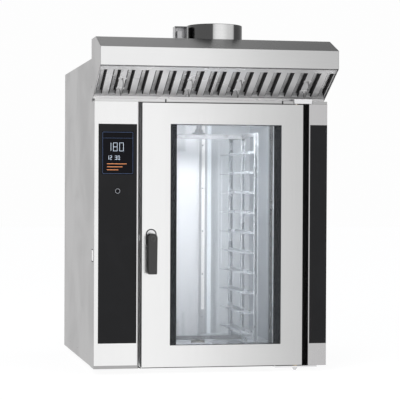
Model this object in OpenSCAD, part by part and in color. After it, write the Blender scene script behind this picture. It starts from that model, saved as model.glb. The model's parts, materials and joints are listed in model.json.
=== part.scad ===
// Rotating rack oven with an extraction hood.
// The modules work in cabinet coordinates: X runs from the left side to the
// right, Y from the bulkhead (0) to the back, with everything in front of the
// bulkhead negative, and Z up from the underside of the base pan.
// The module place() moves them to the part's own frame, whose origin is the
// middle of the box's footprint on the floor.

/* [Cabinet] */
// Width over the hood, control box and right cover
body_w = 1200; // [1190:1:1300]
// Depth from the bulkhead's front face to the back of the rear panel
body_d = 1130; // [1120:1:1300]
// Height of the side panels
panel_h = 1555; // [1540:1:1640]
// Thickness of the outer sheets
panel_t = 1.5; // [1:0.1:2.5]
// How far the side panels stand in from the width of the hood
panel_inset = 2; // [1:0.1:4]
// Thickness of the bulkhead
bulkhead_t = 4; // [3:0.5:6]
// Thickness of the base pan
base_t = 3; // [2:0.5:5]
// Height of the base pan's upturned edge
base_rim_h = 30; // [20:1:40]
// Height of the levelling feet under the base pan
foot_h = 30; // [26:1:60]
// Diameter of a foot's pad
foot_pad_d = 50; // [40:1:70]
// Distance of the feet from the cabinet's sides
foot_inset = 90; // [70:1:200]
// Distance of the front feet behind the bulkhead
foot_front_y = 200; // [120:1:300]

/* [Chamber] */
// Distance from the cabinet's left side to the chamber
chamber_left = 230; // [226:1:232]
// Distance from the cabinet's right side to the chamber
chamber_right = 150; // [146:1:152]
// Clear depth of the chamber behind the bulkhead
chamber_d = 936; // [930:1:960]
// Clear height of the chamber
chamber_h = 1213; // [1200:1:1220]
// Height of the chamber's floor above the base pan's underside
chamber_z = 72; // [68:1:80]
// Thickness of the chamber's sheet
liner_t = 2.5; // [1.5:0.1:3]
// Thickness of the insulation
insulation_t = 38; // [25:1:38]
// How far the mouth's left edge stands in from the chamber's side
mouth_left = 95; // [92:1:105]
// How far the mouth's right edge stands in from the chamber's side
mouth_right = 45; // [40:1:60]
// Height of the chamber's mouth
mouth_h = 1174; // [1150:1:1180]
// Height of the mouth's lower edge
mouth_z = 86; // [84:1:100]
// Width of the door gasket
gasket_w = 18; // [12:1:20]
// How far the gasket stands in front of the bulkhead
gasket_d = 13; // [10:0.5:13.5]

/* [Rack] */
// Distance from the bulkhead to the rack's axis
rack_y = 415; // [405:1:415]
// Width over the rack's side frames
rack_w = 510; // [470:1:512]
// Depth of the rack
rack_d = 600; // [560:1:600]
// Size of the square tube of the posts
post_t = 20; // [15:1:25]
// Number of tray levels
levels = 10; // [6:1:10]
// Distance between levels
level_pitch = 105; // [90:1:105]
// Height of the lowest runner above the chamber's floor
level_z = 70; // [60:1:72]
// Width of a runner's shelf
runner_w = 50; // [35:1:60]
// Height of a runner's upright flange
runner_h = 14; // [8:1:20]
// Thickness of a runner
runner_t = 2; // [1.5:0.1:3]
// Diameter of the rack's drive shaft
shaft_d = 25; // [20:1:30]
// Diameter of the pin under the rack
pivot_d = 20; // [12:1:24]
// Radial clearance of the turning shafts and pins
running_gap = 0.05; // [0.02:0.01:0.1]

/* [Air] */
// Distance from the cabinet's left side to the fan's axis
fan_x = 500; // [470:1:520]
// Height of the fan's axis
fan_z = 665; // [600:10:760]
// Diameter of the fan wheel
fan_d = 330; // [280:1:350]
// Depth of the fan's blades
fan_blade_d = 60; // [40:1:64]
// Number of fan blades
fan_blades = 12; // [8:1:14]
// Depth of the fan space behind the air baffle
baffle_gap = 112; // [105:1:118]
// Right edge of the air baffle
baffle_x1 = 727; // [705:1:750]
// Width of the air baffle's screwed foot
baffle_foot = 62; // [40:1:70]
// Thickness of the air baffle
baffle_t = 1.5; // [1:0.1:3]
// Radius of the heating rings
heater_r = 195; // [185:1:205]
// Diameter of the heating tube
heater_d = 8.5; // [6:0.5:12]
// Diameter of the chamber's vent flue
flue_d = 80; // [60:1:100]

/* [Door] */
// Gap between the control box and the door
door_left = 20; // [18:1:22]
// Gap between the door and the right cover
door_right = 31; // [27:1:36]
// Height of the door's lower edge
door_z0 = 4; // [3:0.5:10]
// Height of the door's upper edge
door_z1 = 1331; // [1320:1:1332]
// Depth of the door's outer skin, from its front face to its rear edge
door_skin_d = 43; // [36:1:50]
// Thickness of the door's sheets
door_t = 1.5; // [1:0.1:2]
// Width of the door's skin left of the window
window_left = 144; // [138:1:150]
// Width of the door's skin right of the window
window_right = 113; // [107:1:120]
// Lower edge of the window in the skin
window_z0 = 113; // [105:1:120]
// Upper edge of the window in the skin
window_z1 = 1226; // [1215:1:1235]
// Width of the glass bed beside the clear view, left
bed_left = 33; // [25:1:40]
// Width of the glass bed beside the clear view, right
bed_right = 38; // [25:1:42]
// Thickness of the outer glass
glass_t = 4; // [3:0.5:6]
// Distance of the hinge axis from the door's right edge
hinge_inset = 33; // [31:1:37]
// Distance of the hinge axis in front of the bulkhead
hinge_y = 95; // [90:1:97]
// Diameter of the hinge pins
hinge_pin_d = 12; // [8:1:14]

/* [Handle] */
// Distance of the handle's axis from the cabinet's left side
handle_x = 288; // [286:1:290]
// Height of the handle's axis
handle_z = 651; // [560:1:760]
// Length of the lever below its axis
lever_l = 177; // [140:1:190]
// Width of the lever
lever_w = 43; // [36:1:46]
// Thickness of the lever
lever_t = 24; // [18:1:28]
// Distance from the door to the lever
lever_gap = 30; // [26:1:40]
// Diameter of the spindle
spindle_d = 16; // [12:1:18]

/* [Front covers] */
// How far the control box and the right cover stand out from the bulkhead
front_d = 115; // [114:0.5:120]
// Height of the control box and the right cover
front_h = 1335; // [1334:1:1338]
// Width of the control box
control_w = 222; // [215:1:225]
// Lower edge of the control box's front sheet, above the lip of the box
fascia_z0 = 16; // [10:1:20]
// Left edge of the control glass
control_glass_x = 21; // [15:1:25]
// Width of the control glass
control_glass_w = 193; // [180:1:194]
// Lower edge of the control glass
front_glass_z0 = 128; // [115:1:135]
// Upper edge of the control glass
front_glass_z1 = 1222; // [1210:1:1240]
// Width of the display
display_w = 161; // [150:1:170]
// Height of the display
display_h = 215; // [200:1:220]
// Height of the display's lower edge
display_z = 971; // [930:1:990]
// Height of the touch key's centre
touch_z = 888; // [860:1:905]
// Diameter of the touch key
touch_d = 30; // [20:1:40]
// Width of the right cover
cover_w = 96; // [90:1:98]
// Distance from the right cover's left edge to its glass strip
strip_inset = 6; // [3:0.5:12]
// Lower edge of the glass strip
strip_z0 = 114; // [100:1:130]
// Upper edge of the glass strip
strip_z1 = 1229; // [1210:1:1245]
// Height of the flap's lower edge in the control box's side
flap_z = 538; // [500:1:700]
// Height and width of the flap
flap_size = 54; // [40:1:60]

/* [Hood] */
// How far the hood stands out from the bulkhead
hood_reach = 315; // [300:1:330]
// Height of the hood's top
hood_top = 1652; // [1645:1:1690]
// Depth of the hood's level top in front of the bulkhead
hood_flat_d = 152; // [145:1:160]
// Height of the hood's front fascia
hood_fascia_h = 90; // [85:1:100]
// Height of the fascia's lower edge
hood_fascia_z = 1500; // [1498:1:1505]
// Height of the lower rear corner of the hood's sides
hood_corner_z = 1350.5; // [1350:0.5:1354]
// Depth of the lower rear corner in front of the bulkhead
hood_corner_d = 47; // [40:1:55]
// Thickness of the hood's sheets
hood_t = 1.5; // [1:0.1:2]
// Width of the plenum behind the hood
plenum_w = 540; // [500:1:600]
// Depth of the plenum behind the hood
plenum_d = 330; // [310:1:400]
// Outer diameter of the duct collar
collar_d = 285; // [250:1:290]
// Height of the duct collar above the hood
collar_h = 84; // [60:1:120]
// Width of the flange at the collar's foot
collar_flange = 10; // [8:1:14]
// Distance of the collar's axis behind the bulkhead
collar_y = 40; // [30:1:60]

/* [Filters] */
// Length of a filter along its slope
filter_l = 245; // [230:1:246]
// Thickness of a filter
filter_t = 26; // [22:1:28]
// Distance between the gaps of a filter
baffle_pitch = 69.4; // [66:0.1:69.4]
// Width of a baffle channel
channel_w = 40; // [39:1:46]
// Sheet thickness of the baffles
channel_t = 1.2; // [0.8:0.1:1.5]
// How far a filter's face lies behind the edges of the hood's sides
filter_recess = 10; // [6:1:12]
// How far a filter lifts in its rails
filter_lift = 18; // [16:1:20]
// Diameter of a bail's wire
bail_d = 4; // [3:0.5:5]
// Length of a bail along the filter
bail_l = 90; // [70:1:110]
// How far a bail stands out
bail_h = 38; // [30:1:45]
// Gap between the drip tray and the hinge block
tray_right = 61; // [50:1:70]
// Width of the drip tray
tray_w = 604; // [580:1:620]
// Height of the drip tray's lip
tray_h = 12.2; // [10:0.1:13]

/* [Services] */
// Diameter of the cable gland's thread
gland_d = 32; // [25:1:40]
// Diameter of the water inlet's thread
water_d = 26.4; // [20:0.2:34]
// Diameter of the drain pipe
drain_d = 40; // [32:1:50]
// How far the services stand out behind the rear panel
service_reach = 40; // [35:1:60]

/* [Hidden] */

$fn = 64;
// Clearance between pieces of different bodies, and of loosely fitted pieces
gap = 0.3;
// A length that runs past a face that is cut
over = 1;

// Cabinet
side_in = panel_inset + panel_t;
rear_in = body_d - 2 * panel_t;
base_floor = base_t;

// Chamber
chamber_x0 = chamber_left;
chamber_x1 = body_w - chamber_right;
chamber_y0 = bulkhead_t;
chamber_y1 = bulkhead_t + chamber_d;
chamber_z1 = chamber_z + chamber_h;
shell_top = chamber_z1 + liner_t + insulation_t;
shell_bottom = chamber_z - liner_t - insulation_t;
shell_back = chamber_y1 + liner_t + insulation_t;
mouth_x = chamber_x0 + mouth_left;
mouth_x1 = chamber_x1 - mouth_right;
mouth_z1 = mouth_z + mouth_h;
gasket_edge = 4;

// Door, whose rear face keeps clear of the gasket
cover_x = body_w - cover_w;
door_x0 = control_w + door_left;
door_x1 = cover_x - door_right;
hinge_x = door_x1 - hinge_inset;
window_x0 = door_x0 + window_left;
window_x1 = door_x1 - window_right;
door_front = 113;
door_rear = gasket_d + gap + 0.7;
door_skin_y = -door_front + door_skin_d;
view_x0 = window_x0 + bed_left;
view_x1 = window_x1 - bed_right;
view_z0 = window_z0 + 3;
view_z1 = window_z1 - 3;
inner_x0 = door_x0 + 4;
inner_x1 = hinge_x + 5;
inner_z0 = door_z0 + 16;
inner_z1 = door_z1 - 13;
bush_r = hinge_pin_d / 2 + 4;
bush_l = 30;
bracket_w = 93;
bracket_x = [hinge_x - 15, hinge_x - 15 + bracket_w];
tray_x = bracket_x[0] - tray_right - tray_w;

// Rack, whose axis stands in the middle of the chamber's width
rack_x = (chamber_x0 + chamber_x1) / 2;
rack_z0 = chamber_z + 18;
rack_z1 = level_z + chamber_z + (levels - 1) * level_pitch + 108;
beam_h = 24;
post_x = rack_x + rack_w / 2 - post_t;
post_ys = [rack_y - rack_d / 2 + post_t / 2, rack_y, rack_y + rack_d / 2 - post_t / 2];
gear_z = shell_top + 8;

// Fan
fan_back = chamber_y1 - 13;
fan_front = fan_back - fan_blade_d - 2;
fan_eye_r = 0.53 * fan_d / 2;
baffle_y = chamber_y1 - baffle_gap;

// Hood and filters
hood_back_z = panel_h;
hood_chamfer_z = hood_fascia_z + hood_fascia_h;
hood_x0 = hood_t;
hood_x1 = body_w - hood_t;
plenum_x = rack_x + 30 - plenum_w / 2;
rail_t = 1.5;
rail_w = filter_t + 6;
filter_tilt = atan2(hood_fascia_z - hood_corner_z, hood_reach - hood_corner_d);
seat_depth = filter_recess + filter_t / 2;
seat_y = -hood_corner_d - 16 + seat_depth * sin(filter_tilt);
seat_z = hood_corner_z + 16 * tan(filter_tilt) + seat_depth * cos(filter_tilt);
filter_w = body_w / 2 - hood_t - 1.5;
gap_w = baffle_pitch - channel_w;
filter_gaps = floor((filter_w - gap_w - 8) / baffle_pitch) + 1;
gutter_z = front_h;
gutter_t = 1.5;
vent_x = rack_x + 180;
vent_y = 230;
filter_x = [hood_x0 + 1, body_w / 2 + 0.5];
bail_offset = 2.5 * baffle_pitch;

// Frame of the part
total_d = hood_reach + body_d + service_reach;
seam_y = hood_reach - total_d / 2;

steel = [0.80, 0.80, 0.80];
steel_dark = [0.58, 0.58, 0.60];
steel_bright = [0.90, 0.91, 0.93];
black = [0.10, 0.10, 0.11];
rubber = [0.20, 0.20, 0.21];
glass = [0.75, 0.85, 0.90, 0.45];

// ---------------------------------------------------------------- helpers

// Moves cabinet coordinates to the part's frame.
module place() {
    translate([-body_w / 2, seam_y, foot_h]) children();
}

// A box given by its two corners.
module span(low, high) {
    translate(low) cube(high - low);
}

// A flat rectangle in X and Z, extruded from y0 to y1.
module panel_xz(x0, x1, z0, z1, y0, y1) {
    span([x0, y0, z0], [x1, y1, z1]);
}

// A cylinder along Y from y0 to y1.
module rod_y(x, z, y0, y1, r) {
    translate([x, y0, z]) rotate([-90, 0, 0]) cylinder(h = y1 - y0, r = r);
}

// A cylinder along X from x0 to x1.
module rod_x(y, z, x0, x1, r) {
    translate([x0, y, z]) rotate([0, 90, 0]) cylinder(h = x1 - x0, r = r);
}

// A cylinder along Z from z0 to z1.
module rod_z(x, y, z0, z1, r) {
    translate([x, y, z0]) cylinder(h = z1 - z0, r = r);
}

// A rectangle of w by h with round corners, centred.
module rounded_rect(w, h, r) {
    square([w - 2 * r, h], center = true);
    square([w, h - 2 * r], center = true);
    for (sx = [-1, 1], sy = [-1, 1])
        translate([sx * (w / 2 - r), sy * (h / 2 - r)]) circle(r = r);
}

// Children drawn in X and Z, extruded along Y from y0 to y1.
module along_y(y0, y1) {
    translate([0, y1, 0]) rotate([90, 0, 0]) linear_extrude(y1 - y0) children();
}

// Children drawn in Y and Z, extruded along X from x0 to x1.
module along_x(x0, x1) {
    translate([x0, 0, 0]) rotate([90, 0, 90]) linear_extrude(x1 - x0) children();
}

// The unit normal on the left of the step from a to b.
function normal_of(a, b) = let (d = b - a) [-d[1], d[0]] / norm(d);

// Point i of a path, moved by t to the path's left, with mitred corners.
function inset_point(p, i, t) =
    let (n = len(p),
         before = i > 0 ? normal_of(p[i - 1], p[i]) : normal_of(p[i], p[i + 1]),
         after = i < n - 1 ? normal_of(p[i], p[i + 1]) : before,
         mid = before + after)
    p[i] + mid * (2 * t / (mid * mid));

// A bent sheet of thickness t, whose outer face follows the path p.
module bent_sheet(p, t) {
    n = len(p);
    polygon(concat(p, [for (i = [n - 1 : -1 : 0]) inset_point(p, i, t)]));
}

// ---------------------------------------------------------------- cabinet

module base_pan() {
    color(steel_dark) {
        difference() {
            span([side_in, bulkhead_t, 0], [body_w - side_in, rear_in, base_rim_h]);
            span([side_in + base_t, bulkhead_t - over, base_floor],
                 [body_w - side_in - base_t, rear_in - base_t, base_rim_h + over]);
        }
        for (y = [bulkhead_t + 160, chamber_y1 / 2 + 60, chamber_y1 - 60]) hat_rail(y);
    }
}

// A hat-section rail that carries the chamber on the base pan.
module hat_rail(y) {
    rail_d = 60;
    wall = 2;
    inset = 12;
    difference() {
        span([side_in + inset, y - rail_d / 2, base_floor - over],
             [body_w - side_in - inset, y + rail_d / 2, shell_bottom]);
        span([side_in + inset - over, y - rail_d / 2 + wall, base_floor],
             [body_w - side_in - inset + over, y + rail_d / 2 - wall, shell_bottom - wall]);
    }
}

module levelling_feet() {
    pad_h = 10;
    stem_r = 8;
    nut_h = 8;
    color(black)
        for (x = [foot_inset, body_w - foot_inset], y = [foot_front_y, body_d - foot_inset])
            translate([x, y, -foot_h]) {
                rotate_extrude()
                    polygon([[0, 0], [foot_pad_d / 2, 0], [foot_pad_d / 2, pad_h * 0.4],
                             [foot_pad_d / 2 - 6, pad_h], [0, pad_h]]);
                cylinder(h = foot_h, r = stem_r);
                translate([0, 0, foot_h - nut_h]) cylinder(h = nut_h, r = 15, $fn = 6);
            }
}

module side_panel_left() {
    color(steel) side_panel();
}

module side_panel_right() {
    color(steel) translate([body_w, 0, 0]) mirror([1, 0, 0]) side_panel();
}

// A side panel with its flange turned in behind the rear panel.
module side_panel() {
    flange = 25;
    linear_extrude(panel_h) {
        translate([panel_inset, 0]) square([panel_t, body_d - panel_t]);
        translate([panel_inset, rear_in]) square([flange, panel_t]);
    }
}

module rear_panel() {
    slot_w = 90;
    slot_h = 6;
    slot_pitch = 18;
    slot_zs = [service_z + 110, panel_h - 375];
    color(steel)
        difference() {
            panel_xz(panel_inset, body_w - panel_inset, 0, panel_h, body_d - panel_t, body_d);
            for (column = [1 : 4], row = [0 : 7], z = slot_zs)
                translate([column * body_w / 5, body_d - panel_t / 2, z + row * slot_pitch])
                    cube([slot_w, panel_t + 2, slot_h], center = true);
            rod_y(gland_x, service_z, body_d - panel_t - over, body_d + over, gland_d / 2 + gap);
            rod_y(water_x, service_z, body_d - panel_t - over, body_d + over, water_d / 2 + gap);
            rod_y(drain_x, drain_z, body_d - panel_t - over, body_d + over, drain_d / 2 + gap);
        }
}

module top_panel() {
    lip = 20;
    color(steel)
        difference() {
            span([side_in, bulkhead_t, panel_h - lip], [body_w - side_in, rear_in, panel_h]);
            span([side_in + panel_t, bulkhead_t + panel_t, panel_h - lip - over],
                 [body_w - side_in - panel_t, rear_in - panel_t, panel_h - panel_t]);
            rod_z(vent_x, vent_y, panel_h - 2 * lip, panel_h + over, flue_d / 2 + gap);
        }
}

module front_bulkhead() {
    color(steel_dark)
        difference() {
            panel_xz(side_in, body_w - side_in, 0, panel_h, 0, bulkhead_t);
            panel_xz(mouth_x, mouth_x1, mouth_z, mouth_z1, -over, bulkhead_t + over);
        }
}

// ---------------------------------------------------------------- chamber

lamp_r = 37;
lamp_y = 110;
lamp_zs = [400, 1000];
shaft_sleeve_r = shaft_d / 2 + 8;
fan_shaft_r = 10;
steam_r = 6;
steam_z = fan_z + heater_r + 35;

module chamber_liner() {
    color(steel_bright)
        difference() {
            span([chamber_x0 - liner_t, chamber_y0, chamber_z - liner_t],
                 [chamber_x1 + liner_t, chamber_y1 + liner_t, chamber_z1 + liner_t]);
            span([chamber_x0, chamber_y0 - over, chamber_z],
                 [chamber_x1, chamber_y1, chamber_z1]);
            shell_holes(0);
        }
}

module chamber_insulation() {
    color([0.86, 0.80, 0.55])
        difference() {
            span([chamber_x0 - liner_t - insulation_t, chamber_y0, shell_bottom],
                 [chamber_x1 + liner_t + insulation_t, shell_back, shell_top]);
            span([chamber_x0 - liner_t, chamber_y0 - over, chamber_z - liner_t],
                 [chamber_x1 + liner_t, chamber_y1 + liner_t, chamber_z1 + liner_t]);
            shell_holes(gap);
            rod_y(drain_pos[0], drain_z, drain_pos[1], shell_back + over, drain_pipe_r + gap);
        }
}

// The holes through the chamber's walls for shafts, lamps, pipes and flue.
module shell_holes(extra) {
    rod_z(rack_x, rack_y, chamber_z1 - over, shell_top + over, shaft_sleeve_r + extra);
    rod_z(vent_x, vent_y, chamber_z1 - over, shell_top + over, flue_d / 2 + extra);
    rod_y(fan_x, fan_z, chamber_y1 - over, shell_back + over, fan_shaft_r + 5);
    rod_y(fan_x, steam_z, chamber_y1 - over, shell_back + over, steam_r + extra);
    for (z = lamp_zs)
        rod_x(lamp_y, z, chamber_x0 - liner_t - insulation_t - over, chamber_x0 + over,
              lamp_r + extra);
    drain_hole();
}

drain_pos = [rack_x + 250, rack_y + 330];
drain_z = (shell_bottom + chamber_z - liner_t) / 2;
drain_pipe_r = insulation_t / 2 - 1.2;

module drain_hole() {
    rod_z(drain_pos[0], drain_pos[1], shell_bottom - over, chamber_z + over, drain_d / 2 + gap);
}

module vent_flue() {
    wall = 2;
    flange_t = 3;
    color(steel)
        difference() {
            union() {
                rod_z(vent_x, vent_y, chamber_z1, panel_h + 15, flue_d / 2);
                rod_z(vent_x, vent_y, shell_top, shell_top + flange_t, flue_d / 2 + 20);
            }
            rod_z(vent_x, vent_y, chamber_z1 - over, panel_h + 16, flue_d / 2 - wall);
        }
}

module door_gasket() {
    mouth_w = mouth_x1 - mouth_x;
    outer_w = mouth_w + 2 * (gasket_edge + gasket_w);
    outer_h = mouth_h + 2 * (gasket_edge + gasket_w);
    color(rubber)
        along_y(-gasket_d, 0)
            translate([mouth_x + mouth_w / 2, mouth_z + mouth_h / 2])
                difference() {
                    rounded_rect(outer_w, outer_h, 30);
                    rounded_rect(outer_w - 2 * gasket_w, outer_h - 2 * gasket_w, 12);
                }
}

module air_baffle() {
    slots = 14;
    slot_w = 10;
    slot_r0 = 30;
    slot_r1 = fan_eye_r - slot_w / 2;
    z0 = chamber_z + gap;
    z1 = chamber_z1 - gap;
    color(steel_bright) {
        difference() {
            panel_xz(chamber_x0, baffle_x1, z0, z1, baffle_y, baffle_y + baffle_t);
            for (i = [0 : slots - 1])
                translate([fan_x, baffle_y - over, fan_z]) rotate([-90, 360 * i / slots, 0])
                    linear_extrude(baffle_t + 2 * over) {
                        translate([slot_r0, -slot_w / 2]) square([slot_r1 - slot_r0, slot_w]);
                        translate([slot_r1, 0]) circle(r = slot_w / 2);
                        translate([slot_r0, 0]) circle(r = slot_w / 2);
                    }
        }
        span([chamber_x0, baffle_y, z0], [chamber_x0 + baffle_t, baffle_y + 22, z1]);
        difference() {
            span([baffle_x1 - baffle_t, baffle_y, z0], [baffle_x1, chamber_y1, z1]);
            for (i = [0 : 7])
                translate([baffle_x1, baffle_y + baffle_gap / 2, chamber_z + 110 + i * 140])
                    cube([3 * baffle_t + 2, 60, 90], center = true);
        }
        span([baffle_x1 - baffle_t, chamber_y1 - baffle_t, z0],
             [baffle_x1 + baffle_foot, chamber_y1, z1]);
    }
}

module heating_elements() {
    rings = 3;
    ring_pitch = 20;
    first_y = fan_front + 6;
    tube_r = heater_d / 2;
    terminal_r = tube_r + 1.5;
    clip_w = 14;
    color([0.35, 0.33, 0.32]) {
        for (i = [0 : rings - 1])
            translate([fan_x, first_y + i * ring_pitch, fan_z]) {
                rotate([90, 0, 0]) rotate_extrude() translate([heater_r, 0])
                    circle(r = tube_r, $fn = 24);
                for (side = [-1, 1])
                    rotate([0, side * (6 + 5 * i), 0]) translate([0, 0, heater_r])
                        rotate([-90, 0, 0])
                            cylinder(h = chamber_y1 - first_y - i * ring_pitch, r = terminal_r);
            }
        for (angle = [90, 210, 330])
            translate([fan_x, 0, fan_z]) rotate([0, angle - 90, 0])
                span([heater_r - clip_w / 2, first_y - tube_r - 2, -2],
                     [heater_r + clip_w / 2, chamber_y1, 2]);
    }
}

module fan_motor() {
    flange = 180;
    flange_t = 6;
    motor_r = 68;
    motor_y1 = shell_back + flange_t + 100;
    cap_r = 60;
    shaft_seat = shell_back + flange_t + 30;
    box_w = 70;
    box_l = 65;
    box_h = 40;
    color([0.30, 0.33, 0.38])
        difference() {
            union() {
                along_y(shell_back, shell_back + flange_t)
                    translate([fan_x, fan_z]) rounded_rect(flange, flange, 14);
                rod_y(fan_x, fan_z, shell_back + flange_t, motor_y1, motor_r);
                rod_y(fan_x, fan_z, motor_y1, motor_y1 + 12, cap_r);
                for (a = [0 : 15 : 345])
                    translate([fan_x, 0, fan_z]) rotate([0, a, 0])
                        span([motor_r - 2, shell_back + flange_t + 10, -1.5],
                             [motor_r + 5, motor_y1 - 10, 1.5]);
                span([fan_x - box_w / 2, shaft_seat - flange_t, fan_z + motor_r - 6],
                     [fan_x + box_w / 2, shaft_seat - flange_t + box_l,
                      fan_z + motor_r - 6 + box_h]);
            }
            rod_y(fan_x, fan_z, shell_back - over, shaft_seat, fan_shaft_r + running_gap);
        }
}

module fan_impeller() {
    r = fan_d / 2;
    plate_t = 2;
    hub_r = 25;
    blade_t = 2;
    blade_r0 = fan_eye_r;
    arc_r = 0.55 * r;
    color(steel) {
        rod_y(fan_x, fan_z, fan_back - plate_t, fan_back, r);
        rod_y(fan_x, fan_z, fan_back - 40, fan_back - plate_t, hub_r);
        rod_y(fan_x, fan_z, fan_back - 46, shell_back + 35, fan_shaft_r);
        along_y(fan_front, fan_front + plate_t)
            translate([fan_x, fan_z]) difference() {
                circle(r = r);
                circle(r = blade_r0 - 2);
            }
        for (i = [0 : fan_blades - 1])
            along_y(fan_front + plate_t, fan_back - plate_t)
                translate([fan_x, fan_z]) rotate(360 * i / fan_blades)
                    intersection() {
                        translate([blade_r0 + 0.3 * r, -arc_r * 0.8]) difference() {
                            circle(r = arc_r);
                            circle(r = arc_r - blade_t);
                        }
                        difference() {
                            circle(r = r - 1);
                            circle(r = blade_r0);
                        }
                        square([r, r]);
                    }
    }
}

module steam_pipe() {
    bend_r = 20;
    pipe_y = baffle_y + baffle_t + 16;
    low_z = fan_z + 30;
    color(steel) {
        rod_y(fan_x, steam_z, pipe_y + bend_r, shell_back + 25, steam_r);
        translate([fan_x, pipe_y + bend_r, steam_z - bend_r]) rotate([90, 0, 90])
            rotate([0, 0, 90]) rotate_extrude(angle = 90) translate([bend_r, 0]) circle(r = steam_r);
        rod_z(fan_x, pipe_y, low_z, steam_z - bend_r, steam_r);
    }
}

module rack_gearmotor() {
    plate = 200;
    plate_t = 8;
    gear_w = 140;
    gear_h = 95;
    motor_r = 48;
    motor_l = 170;
    motor_z = gear_z + gear_h / 2;
    color([0.25, 0.35, 0.50])
        difference() {
            union() {
                translate([rack_x, rack_y, shell_top]) linear_extrude(plate_t)
                    rounded_rect(plate, plate, 12);
                translate([rack_x, rack_y, gear_z]) linear_extrude(gear_h)
                    rounded_rect(gear_w, gear_w, 18);
                rod_x(rack_y, motor_z, rack_x + gear_w / 2 - 4, rack_x + gear_w / 2 + motor_l, motor_r);
                rod_x(rack_y, motor_z, rack_x + gear_w / 2 + motor_l,
                      rack_x + gear_w / 2 + motor_l + 30, motor_r - 5);
            }
            rod_z(rack_x, rack_y, shell_top - over, gear_z + 62, shaft_d / 2 + running_gap);
        }
}

module rack_bearings() {
    flange_t = 6;
    socket_h = 14;
    color([0.72, 0.58, 0.30]) {
        difference() {
            union() {
                rod_z(rack_x, rack_y, chamber_z1 - flange_t, chamber_z1, shaft_sleeve_r + 18);
                rod_z(rack_x, rack_y, chamber_z1, shell_top, shaft_sleeve_r);
            }
            rod_z(rack_x, rack_y, chamber_z1 - flange_t - over, shell_top + over,
                  shaft_d / 2 + running_gap);
        }
        difference() {
            rod_z(rack_x, rack_y, chamber_z, chamber_z + socket_h, pivot_d / 2 + 28);
            rod_z(rack_x, rack_y, chamber_z + 3, chamber_z + socket_h + over,
                  pivot_d / 2 + running_gap);
        }
    }
}

module rack_shaft() {
    flange_t = 8;
    gear_seat = 60;
    color(steel_bright) {
        rod_z(rack_x, rack_y, rack_z1 + flange_t, gear_z + gear_seat, shaft_d / 2);
        rod_z(rack_x, rack_y, rack_z1, rack_z1 + flange_t, shaft_d / 2 + 22);
        rod_z(rack_x, rack_y, rack_z1 + flange_t, rack_z1 + 24, shaft_d / 2 + 8);
    }
}

module rack_beams() {
    beam_w = 30;
    inner = rack_w / 2 - post_t;
    color(steel_bright) {
        span([rack_x - inner, rack_y - beam_w / 2, rack_z1 - beam_h],
             [rack_x + inner, rack_y + beam_w / 2, rack_z1]);
        span([rack_x - inner, rack_y - beam_w / 2, rack_z0],
             [rack_x + inner, rack_y + beam_w / 2, rack_z0 + 20]);
        rod_z(rack_x, rack_y, chamber_z + 3 + gap, rack_z0, pivot_d / 2);
    }
}

module rack_frames() {
    color(steel_bright) {
        rack_frame();
        mirrored_rack() rack_frame();
    }
}

module rack_runners() {
    color(steel_bright) {
        runners();
        mirrored_rack() runners();
    }
}

// Children of the rack's right half, on its left half.
module mirrored_rack() {
    translate([2 * rack_x, 0, 0]) mirror([1, 0, 0]) children();
}

// The rack's right frame: three posts and two rails.
module rack_frame() {
    for (y = post_ys)
        span([post_x, y - post_t / 2, rack_z0], [post_x + post_t, y + post_t / 2, rack_z1]);
    for (z = [rack_z0, rack_z1 - post_t])
        span([post_x, rack_y - rack_d / 2, z], [post_x + post_t, rack_y + rack_d / 2, z + post_t]);
}

// The runners on the right frame: angles, each with a shelf and an upright flange.
module runners() {
    for (i = [0 : levels - 1])
        translate([post_x, rack_y - rack_d / 2, chamber_z + level_z + i * level_pitch]) {
            translate([-runner_w, 0, 0]) cube([runner_w, rack_d, runner_t]);
            translate([-runner_t, 0, 0]) cube([runner_t, rack_d, runner_h]);
        }
}

module chamber_lamps() {
    color([0.95, 0.93, 0.85])
        for (z = lamp_zs)
            translate([chamber_x0, lamp_y, z]) rotate([0, 90, 0])
                rotate_extrude()
                    polygon([[0, -liner_t - insulation_t], [lamp_r, -liner_t - insulation_t],
                             [lamp_r, 0], [lamp_r + 7, 0], [lamp_r + 7, 3],
                             [lamp_r, 5], [lamp_r * 0.7, 11], [0, 14]]);
}

// ---------------------------------------------------------------- front

control_flap_y = [-56 - flap_size / 2, -56 + flap_size / 2];
flap_gap = 0.5;

module control_box() {
    sill_t = 3;
    y0 = -front_d + panel_t;
    color(steel)
        difference() {
            union() {
                difference() {
                    span([0, y0, 0], [control_w, 0, front_h]);
                    span([panel_t, y0 - over, panel_t],
                         [control_w - panel_t, over, front_h - panel_t]);
                }
                panel_xz(panel_t, control_w - panel_t, panel_t, fascia_z0 - gap, y0, y0 + panel_t);
                span([control_w - panel_t, y0, 0], [door_x0 - 1, -2, sill_t]);
            }
            span([-over, control_flap_y[0] - flap_gap, flap_z - flap_gap],
                 [panel_t + over, control_flap_y[1] + flap_gap, flap_z + flap_size + flap_gap]);
        }
}

module control_fascia() {
    color(steel)
        difference() {
            panel_xz(0, control_w, fascia_z0, front_h, -front_d, -front_d + panel_t);
            panel_xz(control_glass_x - gap, control_glass_x + control_glass_w + gap,
                     front_glass_z0 - gap, front_glass_z1 + gap,
                     -front_d - over, -front_d + panel_t + over);
        }
}

front_glass_t = 3;
front_glass_proud = 0.8;
control_mid = control_glass_x + control_glass_w / 2;

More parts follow.
